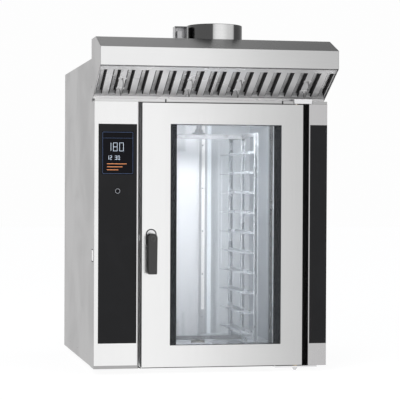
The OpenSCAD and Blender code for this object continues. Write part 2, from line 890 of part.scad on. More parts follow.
module control_glass() {
    color(black)
        difference() {
            union() {
                panel_xz(control_glass_x, control_glass_x + control_glass_w, front_glass_z0,
                         front_glass_z1, -front_d - front_glass_proud, -front_d + panel_t);
                panel_xz(control_glass_x - 6, control_glass_x + control_glass_w + 4,
                         front_glass_z0 - 6, front_glass_z1 + 6,
                         -front_d + panel_t, -front_d + panel_t + front_glass_t);
            }
            panel_xz(control_mid - display_w / 2, control_mid + display_w / 2, display_z,
                     display_z + display_h, -front_d - front_glass_proud - over,
                     -front_d + panel_t);
            rod_y(control_mid, touch_z, -front_d - front_glass_proud - over, -front_d + panel_t,
                  touch_d / 2);
        }
}

module display_panel() {
    y0 = -front_d - front_glass_proud;
    color([0.12, 0.16, 0.26]) {
        panel_xz(control_mid - display_w / 2, control_mid + display_w / 2, display_z,
                 display_z + display_h, y0, -front_d + panel_t);
        rod_y(control_mid, touch_z, y0, -front_d + panel_t, touch_d / 2);
    }
}

flap_t = 1.2;
flap_axis_z = flap_z + flap_size - flap_t / 2;

module service_flap() {
    color(steel_dark) {
        span([0, control_flap_y[0], flap_z], [flap_t, control_flap_y[1], flap_axis_z]);
        rod_y(flap_t / 2, flap_axis_z, control_flap_y[0], control_flap_y[1], flap_t / 2);
    }
}

module service_socket() {
    body = 32;
    margin = 5;
    color(black)
        difference() {
            union() {
                span([panel_t, control_flap_y[0] - margin, flap_z - margin],
                     [panel_t + 2, control_flap_y[1] + margin, flap_z + flap_size + margin]);
                span([panel_t + 2, -56 - body / 2, flap_z + 10],
                     [panel_t + 24, -56 + body / 2, flap_z + 10 + body]);
            }
            for (z = [flap_z + 17, flap_z + 31])
                span([panel_t - over, -56 - 7, z], [panel_t + 16, -56 + 7, z + 5.5]);
        }
}

module right_cover() {
    y0 = -front_d;
    z0 = 1;
    color(steel)
        difference() {
            span([cover_x, y0, z0], [body_w, 0, front_h]);
            span([cover_x + panel_t, y0 + panel_t, z0 + panel_t],
                 [body_w - panel_t, over, front_h - panel_t]);
        }
}

module right_glass_strip() {
    edge = 0.5;
    color(black)
        panel_xz(cover_x + strip_inset, body_w - edge, strip_z0, strip_z1,
                 -front_d - front_glass_proud, -front_d);
}

bracket_z = front_h + 1;
bracket_h = 26;
hinge_front = front_d + 3;

module hinge_brackets() {
    plate_t = 8;
    plate_nose = 18;
    pin_nut_h = 15;
    plate_foot = 70;
    pin_l = 27;
    color(steel) {
        along_x(bracket_x[0], bracket_x[1])
            polygon([[-hinge_front, bracket_z + 2], [-hinge_front + 2, bracket_z],
                     [0, bracket_z], [0, bracket_z + 10], [-42, bracket_z + 10],
                     [-50, bracket_z + bracket_h], [-hinge_front + 2, bracket_z + bracket_h],
                     [-hinge_front, bracket_z + bracket_h - 2]]);
        rod_z(hinge_x, -hinge_y, door_z1 - pin_l, bracket_z, hinge_pin_d / 2);
        span([hinge_x - 105, -hinge_y - plate_nose, -plate_t],
             [cover_x + cover_w / 2, plate_foot, 0]);
        rod_z(hinge_x, -hinge_y, 0, door_z0 + pin_l - 3, hinge_pin_d / 2);
        translate([hinge_x, -hinge_y, -plate_t - pin_nut_h]) cylinder(h = pin_nut_h, r1 = 5, r2 = 16);
    }
}

keeper_h = 30;
hook_y = [-9.5, -4.5];
hook_l = 34;

module latch_keeper() {
    leg_x = handle_x - hook_l - 11;
    lip = 13;
    leg_t = 5;
    lip_y = [hook_y[0] - 3.5, hook_y[0] - 0.5];
    color(steel_dark) {
        panel_xz(leg_x, leg_x + leg_t, handle_z - keeper_h / 2, handle_z + keeper_h / 2, lip_y[0], 0);
        panel_xz(leg_x, leg_x + leg_t + lip, handle_z - keeper_h / 2, handle_z + keeper_h / 2,
                 lip_y[0], lip_y[1]);
    }
}

// ---------------------------------------------------------------- hood

// The outline of the hood's outside in Y and Z, from its back to its front lip.
hood_path = [[0, hood_top], [-hood_flat_d, hood_top], [-hood_reach, hood_chamfer_z],
             [-hood_reach, hood_fascia_z], [-hood_reach + 14, hood_fascia_z]];

module hood_canopy() {
    color(steel)
        difference() {
            union() {
                along_x(hood_x0, hood_x1) bent_sheet(hood_path, hood_t);
                panel_xz(hood_x0, hood_x1, hood_back_z, hood_top - hood_t, -hood_t, 0);
            }
            collar_hole();
            panel_xz(plenum_x + hood_t, plenum_x + plenum_w - hood_t, hood_back_z + hood_t,
                     hood_top - hood_t, -hood_t - over, over);
        }
}

hood_screw_zs = [1411, 1510, 1611];
screw_r = 4.5;

module hood_sides() {
    outline = [[0, hood_corner_z], [0, hood_top], [-hood_flat_d, hood_top],
               [-hood_reach, hood_chamfer_z], [-hood_reach, hood_fascia_z],
               [-hood_corner_d, hood_corner_z]];
    color(steel)
        for (x = [0, hood_x1])
            difference() {
                along_x(x, x + hood_t) polygon(outline);
                for (z = hood_screw_zs) rod_x(-9, z, x - over, x + hood_t + over, screw_r + 0.1);
            }
}

module collar_hole() {
    rod_z(rack_x, collar_y, hood_top - 3 * hood_t, hood_top + over, collar_d / 2 - hood_t);
}

module hood_plenum() {
    color(steel)
        difference() {
            span([plenum_x, 0, panel_h], [plenum_x + plenum_w, plenum_d, hood_top]);
            span([plenum_x + hood_t, -over, panel_h + hood_t],
                 [plenum_x + plenum_w - hood_t, plenum_d - hood_t, hood_top - hood_t]);
            collar_hole();
            rod_z(vent_x, vent_y, panel_h - over, panel_h + 2 * hood_t, flue_d / 2 + gap);
        }
}

module duct_collar() {
    r = collar_d / 2;
    bead = 2.5;
    color(steel_dark)
        translate([rack_x, collar_y, hood_top]) rotate_extrude($fn = 128) {
            polygon([[r - hood_t, 0], [r + collar_flange, 0], [r + collar_flange, hood_t],
                     [r, hood_t], [r, collar_h - bead], [r - hood_t, collar_h - bead]]);
            translate([r - bead, collar_h - bead]) circle(r = bead, $fn = 12);
        }
}

module collar_box() {
    w = 62;
    d = 60;
    h = collar_h - 10;
    x1 = rack_x - collar_d / 2 - collar_flange - 2;
    y0 = collar_y - 60;
    color(steel) {
        difference() {
            span([x1 - w, y0, hood_top], [x1, y0 + d, hood_top + h]);
            span([x1 - w + hood_t, y0 - over, hood_top + hood_t],
                 [x1 - hood_t, y0 + d - hood_t, hood_top + h - hood_t]);
        }
        span([x1 - w + 16, y0 + 20, hood_top + hood_t], [x1 - 22, y0 + d - hood_t, hood_top + h - 22]);
    }
}

// The filters' own frame: x as the cabinet's, y up the slope from the lower
// rail, z out of the filter towards the cook.
module on_slope() {
    translate([0, seat_y, seat_z]) rotate([180 - filter_tilt, 0, 0]) children();
}

// Holds both filters: a lower and an upper rail, and a skirt down to the gutter.
module filter_rails() {
    half = rail_w / 2;
    skirt_y = seat_y - half * sin(filter_tilt) + 0.5;
    skirt_z = seat_z - half * cos(filter_tilt) + 1;
    top = filter_l + filter_lift + 3;
    color(steel)
        on_slope() {
            span([hood_x0, -rail_t, -half], [hood_x1, 0, half]);
            span([hood_x0, 0, half - rail_t], [hood_x1, filter_lift - 4, half]);
            span([hood_x0, 0, -half], [hood_x1, filter_lift + 2, -half + rail_t]);
            span([hood_x0, top, -half], [hood_x1, top + rail_t, half]);
            span([hood_x0, filter_l - 8, half - rail_t], [hood_x1, top, half]);
            span([hood_x0, filter_l - 8, -half], [hood_x1, top, -half + rail_t]);
        }
    color(steel)
        difference() {
            span([hood_x0, skirt_y, hood_corner_z], [hood_x1, skirt_y + rail_t, skirt_z]);
            span([bracket_x[0] - 3, skirt_y - over, hood_corner_z - over],
                 [bracket_x[1] + 3, skirt_y + rail_t + over, bracket_z + bracket_h + over]);
        }
}

module filter_left() {
    color(steel_bright) grease_filter(filter_x[0]);
}

module filter_right() {
    color(steel_bright) grease_filter(filter_x[1]);
}

saddle_w = 40;
saddle_l = 14;
saddle_t = 1.5;
bail_axis_z = filter_t / 2 + saddle_t + bail_d / 2 + 1.2;
bail_y0 = filter_l / 2 - bail_l / 2 - 12;

// A labyrinth filter: a frame of channels, front baffles with open gaps and
// rear baffles that close each gap behind.
module grease_filter(x0) {
    rail = 12;
    half = filter_t / 2;
    side = (filter_w - (filter_gaps - 1) * baffle_pitch - gap_w) / 2;
    on_slope() translate([x0, gap, 0]) {
        difference() {
            span([0, 0, -half], [filter_w, filter_l - gap, half]);
            span([side, rail, -half - over], [filter_w - side, filter_l - gap - rail, half + over]);
        }
        for (i = [0 : filter_gaps - 2])
            baffle(side + gap_w + channel_w / 2 + i * baffle_pitch, rail, 1);
        for (i = [0 : filter_gaps - 1])
            baffle(side + gap_w / 2 + i * baffle_pitch, rail, -1);
        for (s = [-1, 1], y = [bail_y0, bail_y0 + bail_l])
            translate([filter_w / 2 + s * bail_offset, y, half]) saddle();
    }
}

// One baffle: a channel with its web outwards (face 1) or inwards (face -1).
module baffle(x, rail, face) {
    web = channel_w / 2;
    slope = 4;
    tip = filter_t / 2;
    root = 1;
    path = [[-web, root], [-web, tip - slope], [-web + slope, tip],
            [web - slope, tip], [web, tip - slope], [web, root]];
    translate([x, rail, 0]) rotate([0, face > 0 ? 0 : 180, 0])
        translate([0, filter_l - gap - 2 * rail, 0]) rotate([90, 0, 0])
            linear_extrude(filter_l - gap - 2 * rail) bent_sheet(path, -channel_t);
}

// A riveted saddle with the eye that holds one end of a bail.
module saddle() {
    eye_r = bail_d / 2 + 2.2;
    eye_z = bail_axis_z - filter_t / 2;
    difference() {
        union() {
            translate([-saddle_w / 2, -saddle_l / 2, 0]) cube([saddle_w, saddle_l, saddle_t]);
            translate([0, saddle_l / 2 - 4, eye_z]) rotate([90, 0, 0])
                cylinder(h = saddle_l - 8, r = eye_r);
            translate([-eye_r, -saddle_l / 2 + 4, 0]) cube([2 * eye_r, saddle_l - 8, eye_z]);
        }
        translate([0, saddle_l, eye_z]) rotate([90, 0, 0])
            cylinder(h = 2 * saddle_l, r = bail_d / 2 + running_gap);
    }
}

module filter_left_bail_a() {
    bail(filter_x[0], -1);
}

module filter_left_bail_b() {
    bail(filter_x[0], 1);
}

module filter_right_bail_a() {
    bail(filter_x[1], -1);
}

module filter_right_bail_b() {
    bail(filter_x[1], 1);
}

// A wire bail: two pins turned into the saddles' eyes, two arms and a grip.
module bail(x0, side) {
    r = bail_d / 2;
    bend = 8;
    reach = bail_l / 2 + 9;
    color(steel_dark)
        on_slope()
            translate([x0 + filter_w / 2 + side * bail_offset, gap + bail_y0 + bail_l / 2, bail_axis_z]) {
                for (s = [-1, 1]) scale([1, s, 1]) {
                    translate([0, bail_l / 2 - 3, 0]) rotate([-90, 0, 0])
                        cylinder(h = reach - bail_l / 2 + 3 - r, r = r);
                    translate([0, reach - r, 0]) sphere(r = r);
                    translate([0, reach - r, 0]) cylinder(h = bail_h - bend, r = r);
                    translate([0, reach - r - bend, bail_h - bend]) rotate([90, 0, 90])
                        rotate_extrude(angle = 90) translate([bend, 0]) circle(r = r, $fn = 32);
                }
                translate([0, -(reach - r - bend), bail_h]) rotate([-90, 0, 0])
                    cylinder(h = 2 * (reach - r - bend), r = r);
            }
}

module drip_gutter() {
    ends = [[1, tray_x - 2], [tray_x + tray_w + 2, bracket_x[0] - 3],
            [bracket_x[1] + 3, body_w - 1]];
    color(steel)
        difference() {
            union() {
                span([1, -front_d + gutter_t, gutter_z], [body_w - 1, 0, gutter_z + gutter_t]);
                for (e = ends)
                    span([e[0], -front_d, gutter_z], [e[1], -front_d + gutter_t, gutter_z + 14]);
            }
            span([bracket_x[0] - 3, -front_d - over, gutter_z - over],
                 [bracket_x[1] + 3, over, gutter_z + 15]);
        }
}

module drip_tray() {
    wall = 1.2;
    z0 = gutter_z + gutter_t + gap;
    tray_d = front_d - 20;
    color(steel_bright)
        difference() {
            span([tray_x, -front_d, z0], [tray_x + tray_w, -front_d + tray_d, z0 + tray_h]);
            span([tray_x + wall, -front_d + wall, z0 + wall],
                 [tray_x + tray_w - wall, -front_d + tray_d - wall, z0 + tray_h + over]);
        }
}

// ---------------------------------------------------------------- door

module door_skin() {
    color(steel)
        difference() {
            span([door_x0, -door_front, door_z0], [door_x1, door_skin_y, door_z1]);
            span([door_x0 + door_t, -door_front + door_t, door_z0 + door_t],
                 [door_x1 - door_t, door_skin_y + over, door_z1 - door_t]);
            panel_xz(window_x0, window_x1, window_z0, window_z1, -door_front - over,
                     -door_front + door_t + over);
            bush_holes();
            spindle_hole();
        }
}

module bush_holes() {
    for (z = [[door_z0 - over, door_z0 + bush_l], [door_z1 - bush_l, door_z1 + over]])
        rod_z(hinge_x, -hinge_y, z[0], z[1], bush_r);
}

module spindle_hole() {
    rod_y(handle_x, handle_z, -door_front - over, -door_rear + over, spindle_d / 2 + 1);
}

// The filling of the door, bedded round the outer glass.
module door_insulation() {
    color([0.80, 0.78, 0.70])
        difference() {
            union() {
                span([door_x0 + door_t, -door_front + door_t, door_z0 + door_t],
                     [door_x1 - door_t, door_skin_y, door_z1 - door_t]);
                span([inner_x0 + door_t, door_skin_y, inner_z0 + door_t],
                     [inner_x1 - door_t, -door_rear - door_t, inner_z1 - door_t]);
            }
            panel_xz(window_x0 - 8, window_x1 + 8, window_z0 - 8, window_z1 + 8,
                     -door_front, -door_front + door_t + glass_t);
            panel_xz(view_x0 - door_t, view_x1 + door_t, view_z0 - door_t, view_z1 + door_t,
                     -door_front - over, 0);
            bush_holes();
            spindle_hole();
        }
}

module door_inner_pan() {
    color(steel_bright)
        difference() {
            union() {
                difference() {
                    span([inner_x0, door_skin_y, inner_z0], [inner_x1, -door_rear, inner_z1]);
                    span([inner_x0 + door_t, door_skin_y - over, inner_z0 + door_t],
                         [inner_x1 - door_t, -door_rear - door_t, inner_z1 - door_t]);
                }
                span([view_x0 - door_t, -door_front + door_t + glass_t, view_z0 - door_t],
                     [view_x1 + door_t, -door_rear, view_z1 + door_t]);
            }
            span([view_x0, -door_front - over, view_z0], [view_x1, 0, view_z1]);
            spindle_hole();
        }
}

module door_glass() {
    color(glass) {
        panel_xz(window_x0 + gap, window_x1 - gap, window_z0 + gap, window_z1 - gap,
                 -door_front, -door_front + door_t);
        panel_xz(window_x0 - 7, window_x1 + 7, window_z0 - 7, window_z1 + 7,
                 -door_front + door_t, -door_front + door_t + glass_t);
    }
}

module inner_glass() {
    pane_t = 4;
    clip = 12;
    y1 = -door_rear - 9;
    color(glass) {
        panel_xz(view_x0 + gap, view_x1 - gap, view_z0 + gap, view_z1 - gap, y1 - pane_t, y1);
        for (z = [view_z0 + 120, view_z1 - 120], x = [view_x0, view_x1 - clip])
            panel_xz(x, x + clip, z - 15, z + 15, y1, y1 + 3);
    }
}

module door_hinge_bushes() {
    flange_r = bush_r + 4;
    color([0.72, 0.58, 0.30])
        difference() {
            union() {
                rod_z(hinge_x, -hinge_y, door_z0, door_z0 + bush_l, bush_r);
                rod_z(hinge_x, -hinge_y, gap, door_z0, flange_r);
                rod_z(hinge_x, -hinge_y, door_z1 - bush_l, door_z1, bush_r);
                rod_z(hinge_x, -hinge_y, door_z1, door_z1 + 1.5, flange_r);
            }
            rod_z(hinge_x, -hinge_y, -over, door_z1 + 3, hinge_pin_d / 2 + running_gap);
        }
}

module handle_escutcheon() {
    w = 56;
    h = 98;
    t = 4;
    color(steel_bright)
        along_y(-door_front - t, -door_front)
            translate([handle_x, handle_z]) difference() {
                rounded_rect(w, h, w / 2 - 0.01);
                circle(r = spindle_d / 2 + running_gap);
            }
}

module handle_lever() {
    boss_r = lever_w / 2 + 2;
    half = lever_w / 2;
    corner = 5;
    y0 = -door_front - 4 - gap - lever_gap - lever_t;
    y1 = y0 + lever_t;
    color(black) {
        along_y(y0, y1) translate([handle_x, handle_z]) {
            translate([0, 3]) circle(r = boss_r);
            polygon([[-boss_r, 3], [boss_r, 3], [half, corner - lever_l],
                     [half - corner, -lever_l], [corner - half, -lever_l],
                     [-half, corner - lever_l]]);
            for (side = [-1, 1])
                translate([side * (half - corner), corner - lever_l]) circle(r = corner, $fn = 24);
        }
        rod_y(handle_x, handle_z, y0 - 2, y0, 14);
        rod_y(handle_x, handle_z, y1, -door_front - 4 - gap, boss_r - 7);
        rod_y(handle_x, handle_z, -door_front - 4 - gap, hook_y[0], spindle_d / 2);
    }
}

module latch_hook() {
    finger = 10;
    color(steel_dark)
        along_y(hook_y[0], hook_y[1]) translate([handle_x, handle_z]) {
            circle(r = spindle_d / 2 + 2);
            translate([-finger / 2, 0]) square([finger, hook_l - finger / 2]);
            translate([0, hook_l - finger / 2]) circle(r = finger / 2);
        }
}

// ---------------------------------------------------------------- services

service_z = 210;
gland_x = 90;
water_x = 160;
drain_x = drain_pos[0];

module cable_gland() {
    nut_h = 8;
    color(black)
        difference() {
            union() {
                rod_y(gland_x, service_z, body_d - 14, body_d + service_reach - 6, gland_d / 2);
                rod_y(gland_x, service_z, body_d, body_d + nut_h, gland_d / 2 + 5);
                rod_y(gland_x, service_z, body_d + nut_h + 6, body_d + service_reach - 6,
                      gland_d / 2 + 3);
                rod_y(gland_x, service_z, body_d - panel_t - 7, body_d - panel_t, gland_d / 2 + 4);
            }
            rod_y(gland_x, service_z, body_d - 20, body_d + service_reach, gland_d / 2 - 6);
        }
}

module water_inlet() {
    color([0.72, 0.58, 0.30])
        difference() {
            union() {
                rod_y(water_x, service_z, body_d - 40, body_d + service_reach - 8, water_d / 2);
                rod_y(water_x, service_z, body_d, body_d + 4, water_d / 2 + 6);
                rod_y(water_x, service_z, body_d - panel_t - 6, body_d - panel_t, water_d / 2 + 6);
            }
            rod_y(water_x, service_z, body_d - 30, body_d + service_reach, water_d / 2 - 4);
        }
}

module drain_outlet() {
    wall = 2;
    bottom = drain_z - drain_pipe_r - 1;
    color(steel)
        difference() {
            union() {
                rod_z(drain_pos[0], drain_pos[1], bottom, chamber_z, drain_d / 2);
                rod_y(drain_x, drain_z, drain_pos[1], body_d, drain_pipe_r);
                rod_y(drain_x, drain_z, body_d, body_d + service_reach, drain_d / 2);
            }
            rod_z(drain_pos[0], drain_pos[1], bottom + wall, chamber_z + over,
                  drain_d / 2 - wall);
            rod_y(drain_x, drain_z, drain_pos[1], body_d + service_reach + over,
                  drain_pipe_r - wall);
        }
}

// ---------------------------------------------------------------- fasteners

module panel_screws() {
    head_h = 1.5;
    side_end = 190;
    base_row = 44;
    edge = 40;
    foot_y = chamber_y1 - baffle_t;
    foot_row = 96;
    foot_step = (chamber_h - foot_row - 133) / 4;
    rear_step = (panel_h - 2 * edge + 5) / 4;
    color(steel_dark) {
        for (y = [side_end, body_d / 2 - 35, body_d - side_end - 70]) {
            rod_x(y, base_row, panel_inset - head_h, panel_inset, screw_r);
            rod_x(y, base_row, body_w - panel_inset, body_w - panel_inset + head_h, screw_r);
        }
        for (z = hood_screw_zs) {
            rod_x(-9, z, 0.1, hood_t, screw_r);
            rod_x(-9, z, hood_x1, body_w - 0.1, screw_r);
        }
        for (i = [0 : 4]) {
            rod_y(baffle_x1 + 0.75 * baffle_foot, chamber_z + foot_row + i * foot_step,
                  foot_y - head_h, foot_y, screw_r);
            for (x = [edge, body_w - edge])
                rod_y(x, edge + i * rear_step, body_d, body_d + head_h, screw_r);
        }
    }
}

// ---------------------------------------------------------------- assembly

place() base_pan();
place() levelling_feet();
place() side_panel_left();
place() side_panel_right();
place() rear_panel();
place() top_panel();
place() front_bulkhead();
place() chamber_liner();
place() chamber_insulation();
place() vent_flue();
place() door_gasket();
place() air_baffle();
place() heating_elements();
place() fan_motor();
place() fan_impeller();
place() steam_pipe();
place() rack_gearmotor();
place() rack_bearings();
place() rack_shaft();
place() rack_frames();
place() rack_runners();
place() rack_beams();
place() chamber_lamps();
place() control_box();
place() control_fascia();
place() control_glass();
place() display_panel();
place() service_flap();
place() service_socket();
place() right_cover();
place() right_glass_strip();
place() hinge_brackets();
place() latch_keeper();
place() hood_canopy();
place() hood_sides();
place() hood_plenum();
place() duct_collar();
place() collar_box();
place() filter_rails();
place() drip_gutter();
place() drip_tray();
place() filter_left();
place() filter_right();
place() filter_left_bail_a();
place() filter_left_bail_b();
place() filter_right_bail_a();
place() filter_right_bail_b();
place() door_skin();
place() door_inner_pan();
place() door_insulation();
place() door_glass();
place() inner_glass();
place() door_hinge_bushes();
place() handle_escutcheon();
place() handle_lever();
place() latch_hook();
place() cable_gland();
place() water_inlet();
place() drain_outlet();
place() panel_screws();
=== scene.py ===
"""Dresses a rotating rack oven with its extraction hood.

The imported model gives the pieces, their places and their bodies. This script gives each piece its finish,
rounds the edges of the outer sheets, and adds what is too fine for the construction: the heads of screws and
rivets, thin seals and trims, the printed border of the glass and the signs on the screen.
All lengths are metres, in the model's own frame.
"""
from __future__ import annotations

import json
import logging
import math
from dataclasses import dataclass, replace
from enum import Enum
from typing import Callable, ClassVar, Sequence

import bmesh
import bpy
from mathutils import Matrix, Vector

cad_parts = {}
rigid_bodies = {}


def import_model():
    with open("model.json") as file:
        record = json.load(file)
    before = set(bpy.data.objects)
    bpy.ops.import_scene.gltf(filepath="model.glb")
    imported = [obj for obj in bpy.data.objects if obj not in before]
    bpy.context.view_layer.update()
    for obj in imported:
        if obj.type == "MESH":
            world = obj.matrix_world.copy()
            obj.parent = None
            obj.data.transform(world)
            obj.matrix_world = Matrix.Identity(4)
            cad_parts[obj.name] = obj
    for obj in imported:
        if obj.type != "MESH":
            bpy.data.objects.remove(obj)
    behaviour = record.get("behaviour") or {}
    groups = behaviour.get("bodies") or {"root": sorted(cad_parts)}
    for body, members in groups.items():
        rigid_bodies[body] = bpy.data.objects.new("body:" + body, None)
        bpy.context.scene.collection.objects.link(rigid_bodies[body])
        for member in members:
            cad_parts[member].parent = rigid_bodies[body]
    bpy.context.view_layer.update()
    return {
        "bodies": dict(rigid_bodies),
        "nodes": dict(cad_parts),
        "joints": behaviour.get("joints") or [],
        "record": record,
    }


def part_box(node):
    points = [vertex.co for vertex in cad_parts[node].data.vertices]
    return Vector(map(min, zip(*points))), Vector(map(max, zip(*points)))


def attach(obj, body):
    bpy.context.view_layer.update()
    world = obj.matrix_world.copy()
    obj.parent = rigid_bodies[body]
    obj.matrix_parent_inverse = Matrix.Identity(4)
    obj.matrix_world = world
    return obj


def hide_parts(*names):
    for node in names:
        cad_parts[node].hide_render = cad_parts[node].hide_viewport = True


log = logging.getLogger("rack_oven")

Color = tuple[float, float, float]
Point = tuple[float, float, float]
Placing = Callable[[float, float, float], Point]
Sockets = dict[str, bpy.types.NodeSocket]

MM = 0.001
WELD = 2e-5  # points closer than this are one point


# ---------------------------------------------------------------- node helpers


def socket(node: bpy.types.Node, name: str, output: bool = False) -> bpy.types.NodeSocket:
    """Finds a node's socket by its name.

    Args:
        node: The node to look in.
        name: The socket's name.
        output: True for an output.

    Returns:
        The first enabled socket of that name.
    """
    side = node.outputs if output else node.inputs
    return next(s for s in side if s.name == name and s.enabled)


def feed(tree: bpy.types.NodeTree, node: bpy.types.Node, inputs: dict[str | int, object]) -> None:
    """Fills a node's inputs.

    Args:
        tree: The tree that holds it.
        node: The node.
        inputs: By name or number, a value to set or an output to link.
    """
    for key, value in inputs.items():
        target = node.inputs[key] if isinstance(key, int) else socket(node, key)
        if isinstance(value, bpy.types.NodeSocket):
            tree.links.new(value, target)
        else:
            target.default_value = value


def wire(tree: bpy.types.NodeTree, kind: str, inputs: dict[str | int, object] | None = None,
         **settings: object) -> bpy.types.Node:
    """Adds a node and fills its inputs.

    Args:
        tree: The tree to add it to.
        kind: The node's type.
        inputs: What feed takes.
        settings: The node's own properties, set before its inputs.

    Returns:
        The new node.
    """
    node = tree.nodes.new(kind)
    for name, value in settings.items():
        setattr(node, name, value)
    feed(tree, node, inputs or {})
    return node


def mixed(tree: bpy.types.NodeTree, factor: object, low: object, high: object,
          **settings: object) -> bpy.types.NodeSocket:
    """Mixes two colours.

    Args:
        tree: The tree to add the mixing node to.
        factor: The share of the second colour, a value or an output.
        low: The first colour, a value or an output.
        high: The second colour, a value or an output.
        settings: The mixing node's own properties.

    Returns:
        The mixed colour's output.
    """
    node = wire(tree, "ShaderNodeMix", data_type="RGBA", **settings)
    feed(tree, node, {"Factor": factor, "A": low, "B": high})
    return socket(node, "Result", output=True)


def mapped(tree: bpy.types.NodeTree, value: bpy.types.NodeSocket, low: float,
           high: float) -> bpy.types.NodeSocket:
    """Maps 0 to 1 onto two values.

    Args:
        tree: The tree to add the mapping node to.
        value: The output to map.
        low: The result at 0.
        high: The result at 1.

    Returns:
        The mapped value's output.
    """
    node = wire(tree, "ShaderNodeMapRange", {"Value": value, "To Min": low, "To Max": high})
    return node.outputs["Result"]


def bumped(tree: bpy.types.NodeTree, height: bpy.types.NodeSocket, strength: float,
           depth: float) -> bpy.types.NodeSocket:
    """Turns a height into a normal.

    Args:
        tree: The tree to add the bump node to.
        height: The height's output.
        strength: How strong the bump is.
        depth: How deep it is.

    Returns:
        The normal's output.
    """
    node = wire(tree, "ShaderNodeBump", {"Strength": strength, "Distance": depth, "Height": height})
    return node.outputs["Normal"]


def scaled(color: Color, factor: float) -> Color:
    """Makes a colour lighter or darker.

    Args:
        color: The colour.
        factor: What each channel is multiplied by.

    Returns:
        The new colour, held to 1.
    """
    return tuple(min(1.0, c * factor) for c in color)


def tinted(tree: bpy.types.NodeTree, factor: bpy.types.NodeSocket, color: Color, low: float,
           high: float) -> bpy.types.NodeSocket:
    """Varies a colour between a darker and a lighter tone of itself.

    Args:
        tree: The tree to add the nodes to.
        factor: The output that varies it.
        color: The colour.
        low: What it is multiplied by at 0.
        high: What it is multiplied by at 1.

    Returns:
        The varied colour's output.
    """
    return mixed(tree, factor, (*scaled(color, low), 1.0), (*scaled(color, high), 1.0))


class Grain(Enum):
    """The direction of a brushed finish, and how a pattern is stretched across it."""

    ACROSS = (6.0, 420.0, 420.0)
    DEEP = (420.0, 6.0, 420.0)
    UPRIGHT = (420.0, 420.0, 6.0)
    CAST = (160.0, 160.0, 160.0)


class Pattern(Enum):
    """The shader node groups that several finishes share, each built once."""

    GRAIN = "brushed_grain"
    MARKS = "handling_marks"
    SPECKLE = "moulded_speckle"
    SOFT_BOX = "soft_box"

    def place(self, tree: bpy.types.NodeTree, inputs: dict[str | int, object]) -> Sockets:
        """Places the group in a material.

        Args:
            tree: The material's tree.
            inputs: What feed takes.

        Returns:
            The group's outputs.
        """
        return wire(tree, "ShaderNodeGroup", inputs, node_tree=self._tree()).outputs

    def _tree(self) -> bpy.types.NodeTree:
        """Gives the group's tree, built on the first call.

        Returns:
            The tree.
        """
        if self.value in bpy.data.node_groups:
            return bpy.data.node_groups[self.value]
        vectors, floats, fill = {
            Pattern.GRAIN: (("Vector", "Stretch"), (), fill_grain),
            Pattern.MARKS: (("Vector",), ("Scale",), fill_marks),
            Pattern.SPECKLE: (("Vector",), ("Scale",), fill_speckle),
            Pattern.SOFT_BOX: (("Vector", "Low", "High"), ("Sharpness",), fill_soft_box)}[self]
        tree = bpy.data.node_groups.new(self.value, "ShaderNodeTree")
        for kind, labels in (("NodeSocketVector", vectors), ("NodeSocketFloat", floats)):
            for label in labels:
                tree.interface.new_socket(label, in_out="INPUT", socket_type=kind)
        results = fill(tree, wire(tree, "NodeGroupInput").outputs)
        for label in results:
            tree.interface.new_socket(label, in_out="OUTPUT", socket_type="NodeSocketFloat")
        wire(tree, "NodeGroupOutput", results)
        return tree


def fill_grain(tree: bpy.types.NodeTree, source: Sockets) -> Sockets:
    """Makes the fine parallel lines of a brushed sheet from a fine and a coarse noise.

    Args:
        tree: The group's tree.
        source: The group's inputs.

    Returns:
        A shade from 0 to 1.
    """
    lines = wire(tree, "ShaderNodeVectorMath", {0: source["Vector"], 1: source["Stretch"]},
                 operation="MULTIPLY").outputs[0]
    wide = wire(tree, "ShaderNodeVectorMath", {0: lines, "Scale": 0.17}, operation="SCALE")
    fine = wire(tree, "ShaderNodeTexNoise", {"Vector": lines, "Scale": 1.0, "Detail": 3.0})
    coarse = wire(tree, "ShaderNodeTexNoise",
                  {"Vector": wide.outputs[0], "Scale": 1.0, "Detail": 2.0})
    both = wire(tree, "ShaderNodeMath", {0: coarse.outputs["Fac"], 1: 0.4, 2: fine.outputs["Fac"]},
                operation="MULTIPLY_ADD")
    shade = wire(tree, "ShaderNodeMapRange",
                 {"Value": both.outputs[0], "From Min": 0.35, "From Max": 1.05})
    return {"Shade": shade.outputs["Result"]}


def fill_marks(tree: bpy.types.NodeTree, source: Sockets) -> Sockets:
    """Makes the soft clouds that wiping and handling leave on a smooth surface.

    Args:
        tree: The group's tree.
        source: The group's inputs.

    Returns:
        A mask from 0 to 1.
    """
    cloud = wire(tree, "ShaderNodeTexNoise", {
        "Vector": source["Vector"], "Scale": source["Scale"], "Detail": 4.0, "Roughness": 0.55,
        "Distortion": 0.6})
    spread = wire(tree, "ShaderNodeMapRange",
                  {"Value": cloud.outputs["Fac"], "From Min": 0.4, "From Max": 0.7},
                  interpolation_type="SMOOTHSTEP")
    return {"Mask": spread.outputs["Result"]}


def fill_speckle(tree: bpy.types.NodeTree, source: Sockets) -> Sockets:
    """Makes the fine pebbled texture of moulded plastic, cast metal and wool.

    Args:
        tree: The group's tree.
        source: The group's inputs.

    Returns:
        A shade from 0 to 1 and a height.
    """
    pebbles = wire(tree, "ShaderNodeTexVoronoi",
                   {"Vector": source["Vector"], "Scale": source["Scale"]}, feature="SMOOTH_F1")
    coarse = wire(tree, "ShaderNodeMath", {0: source["Scale"], 1: 0.06}, operation="MULTIPLY")
    cloud = wire(tree, "ShaderNodeTexNoise",
                 {"Vector": source["Vector"], "Scale": coarse.outputs[0], "Detail": 3.0})
    return {"Shade": cloud.outputs["Fac"], "Height": pebbles.outputs["Distance"]}


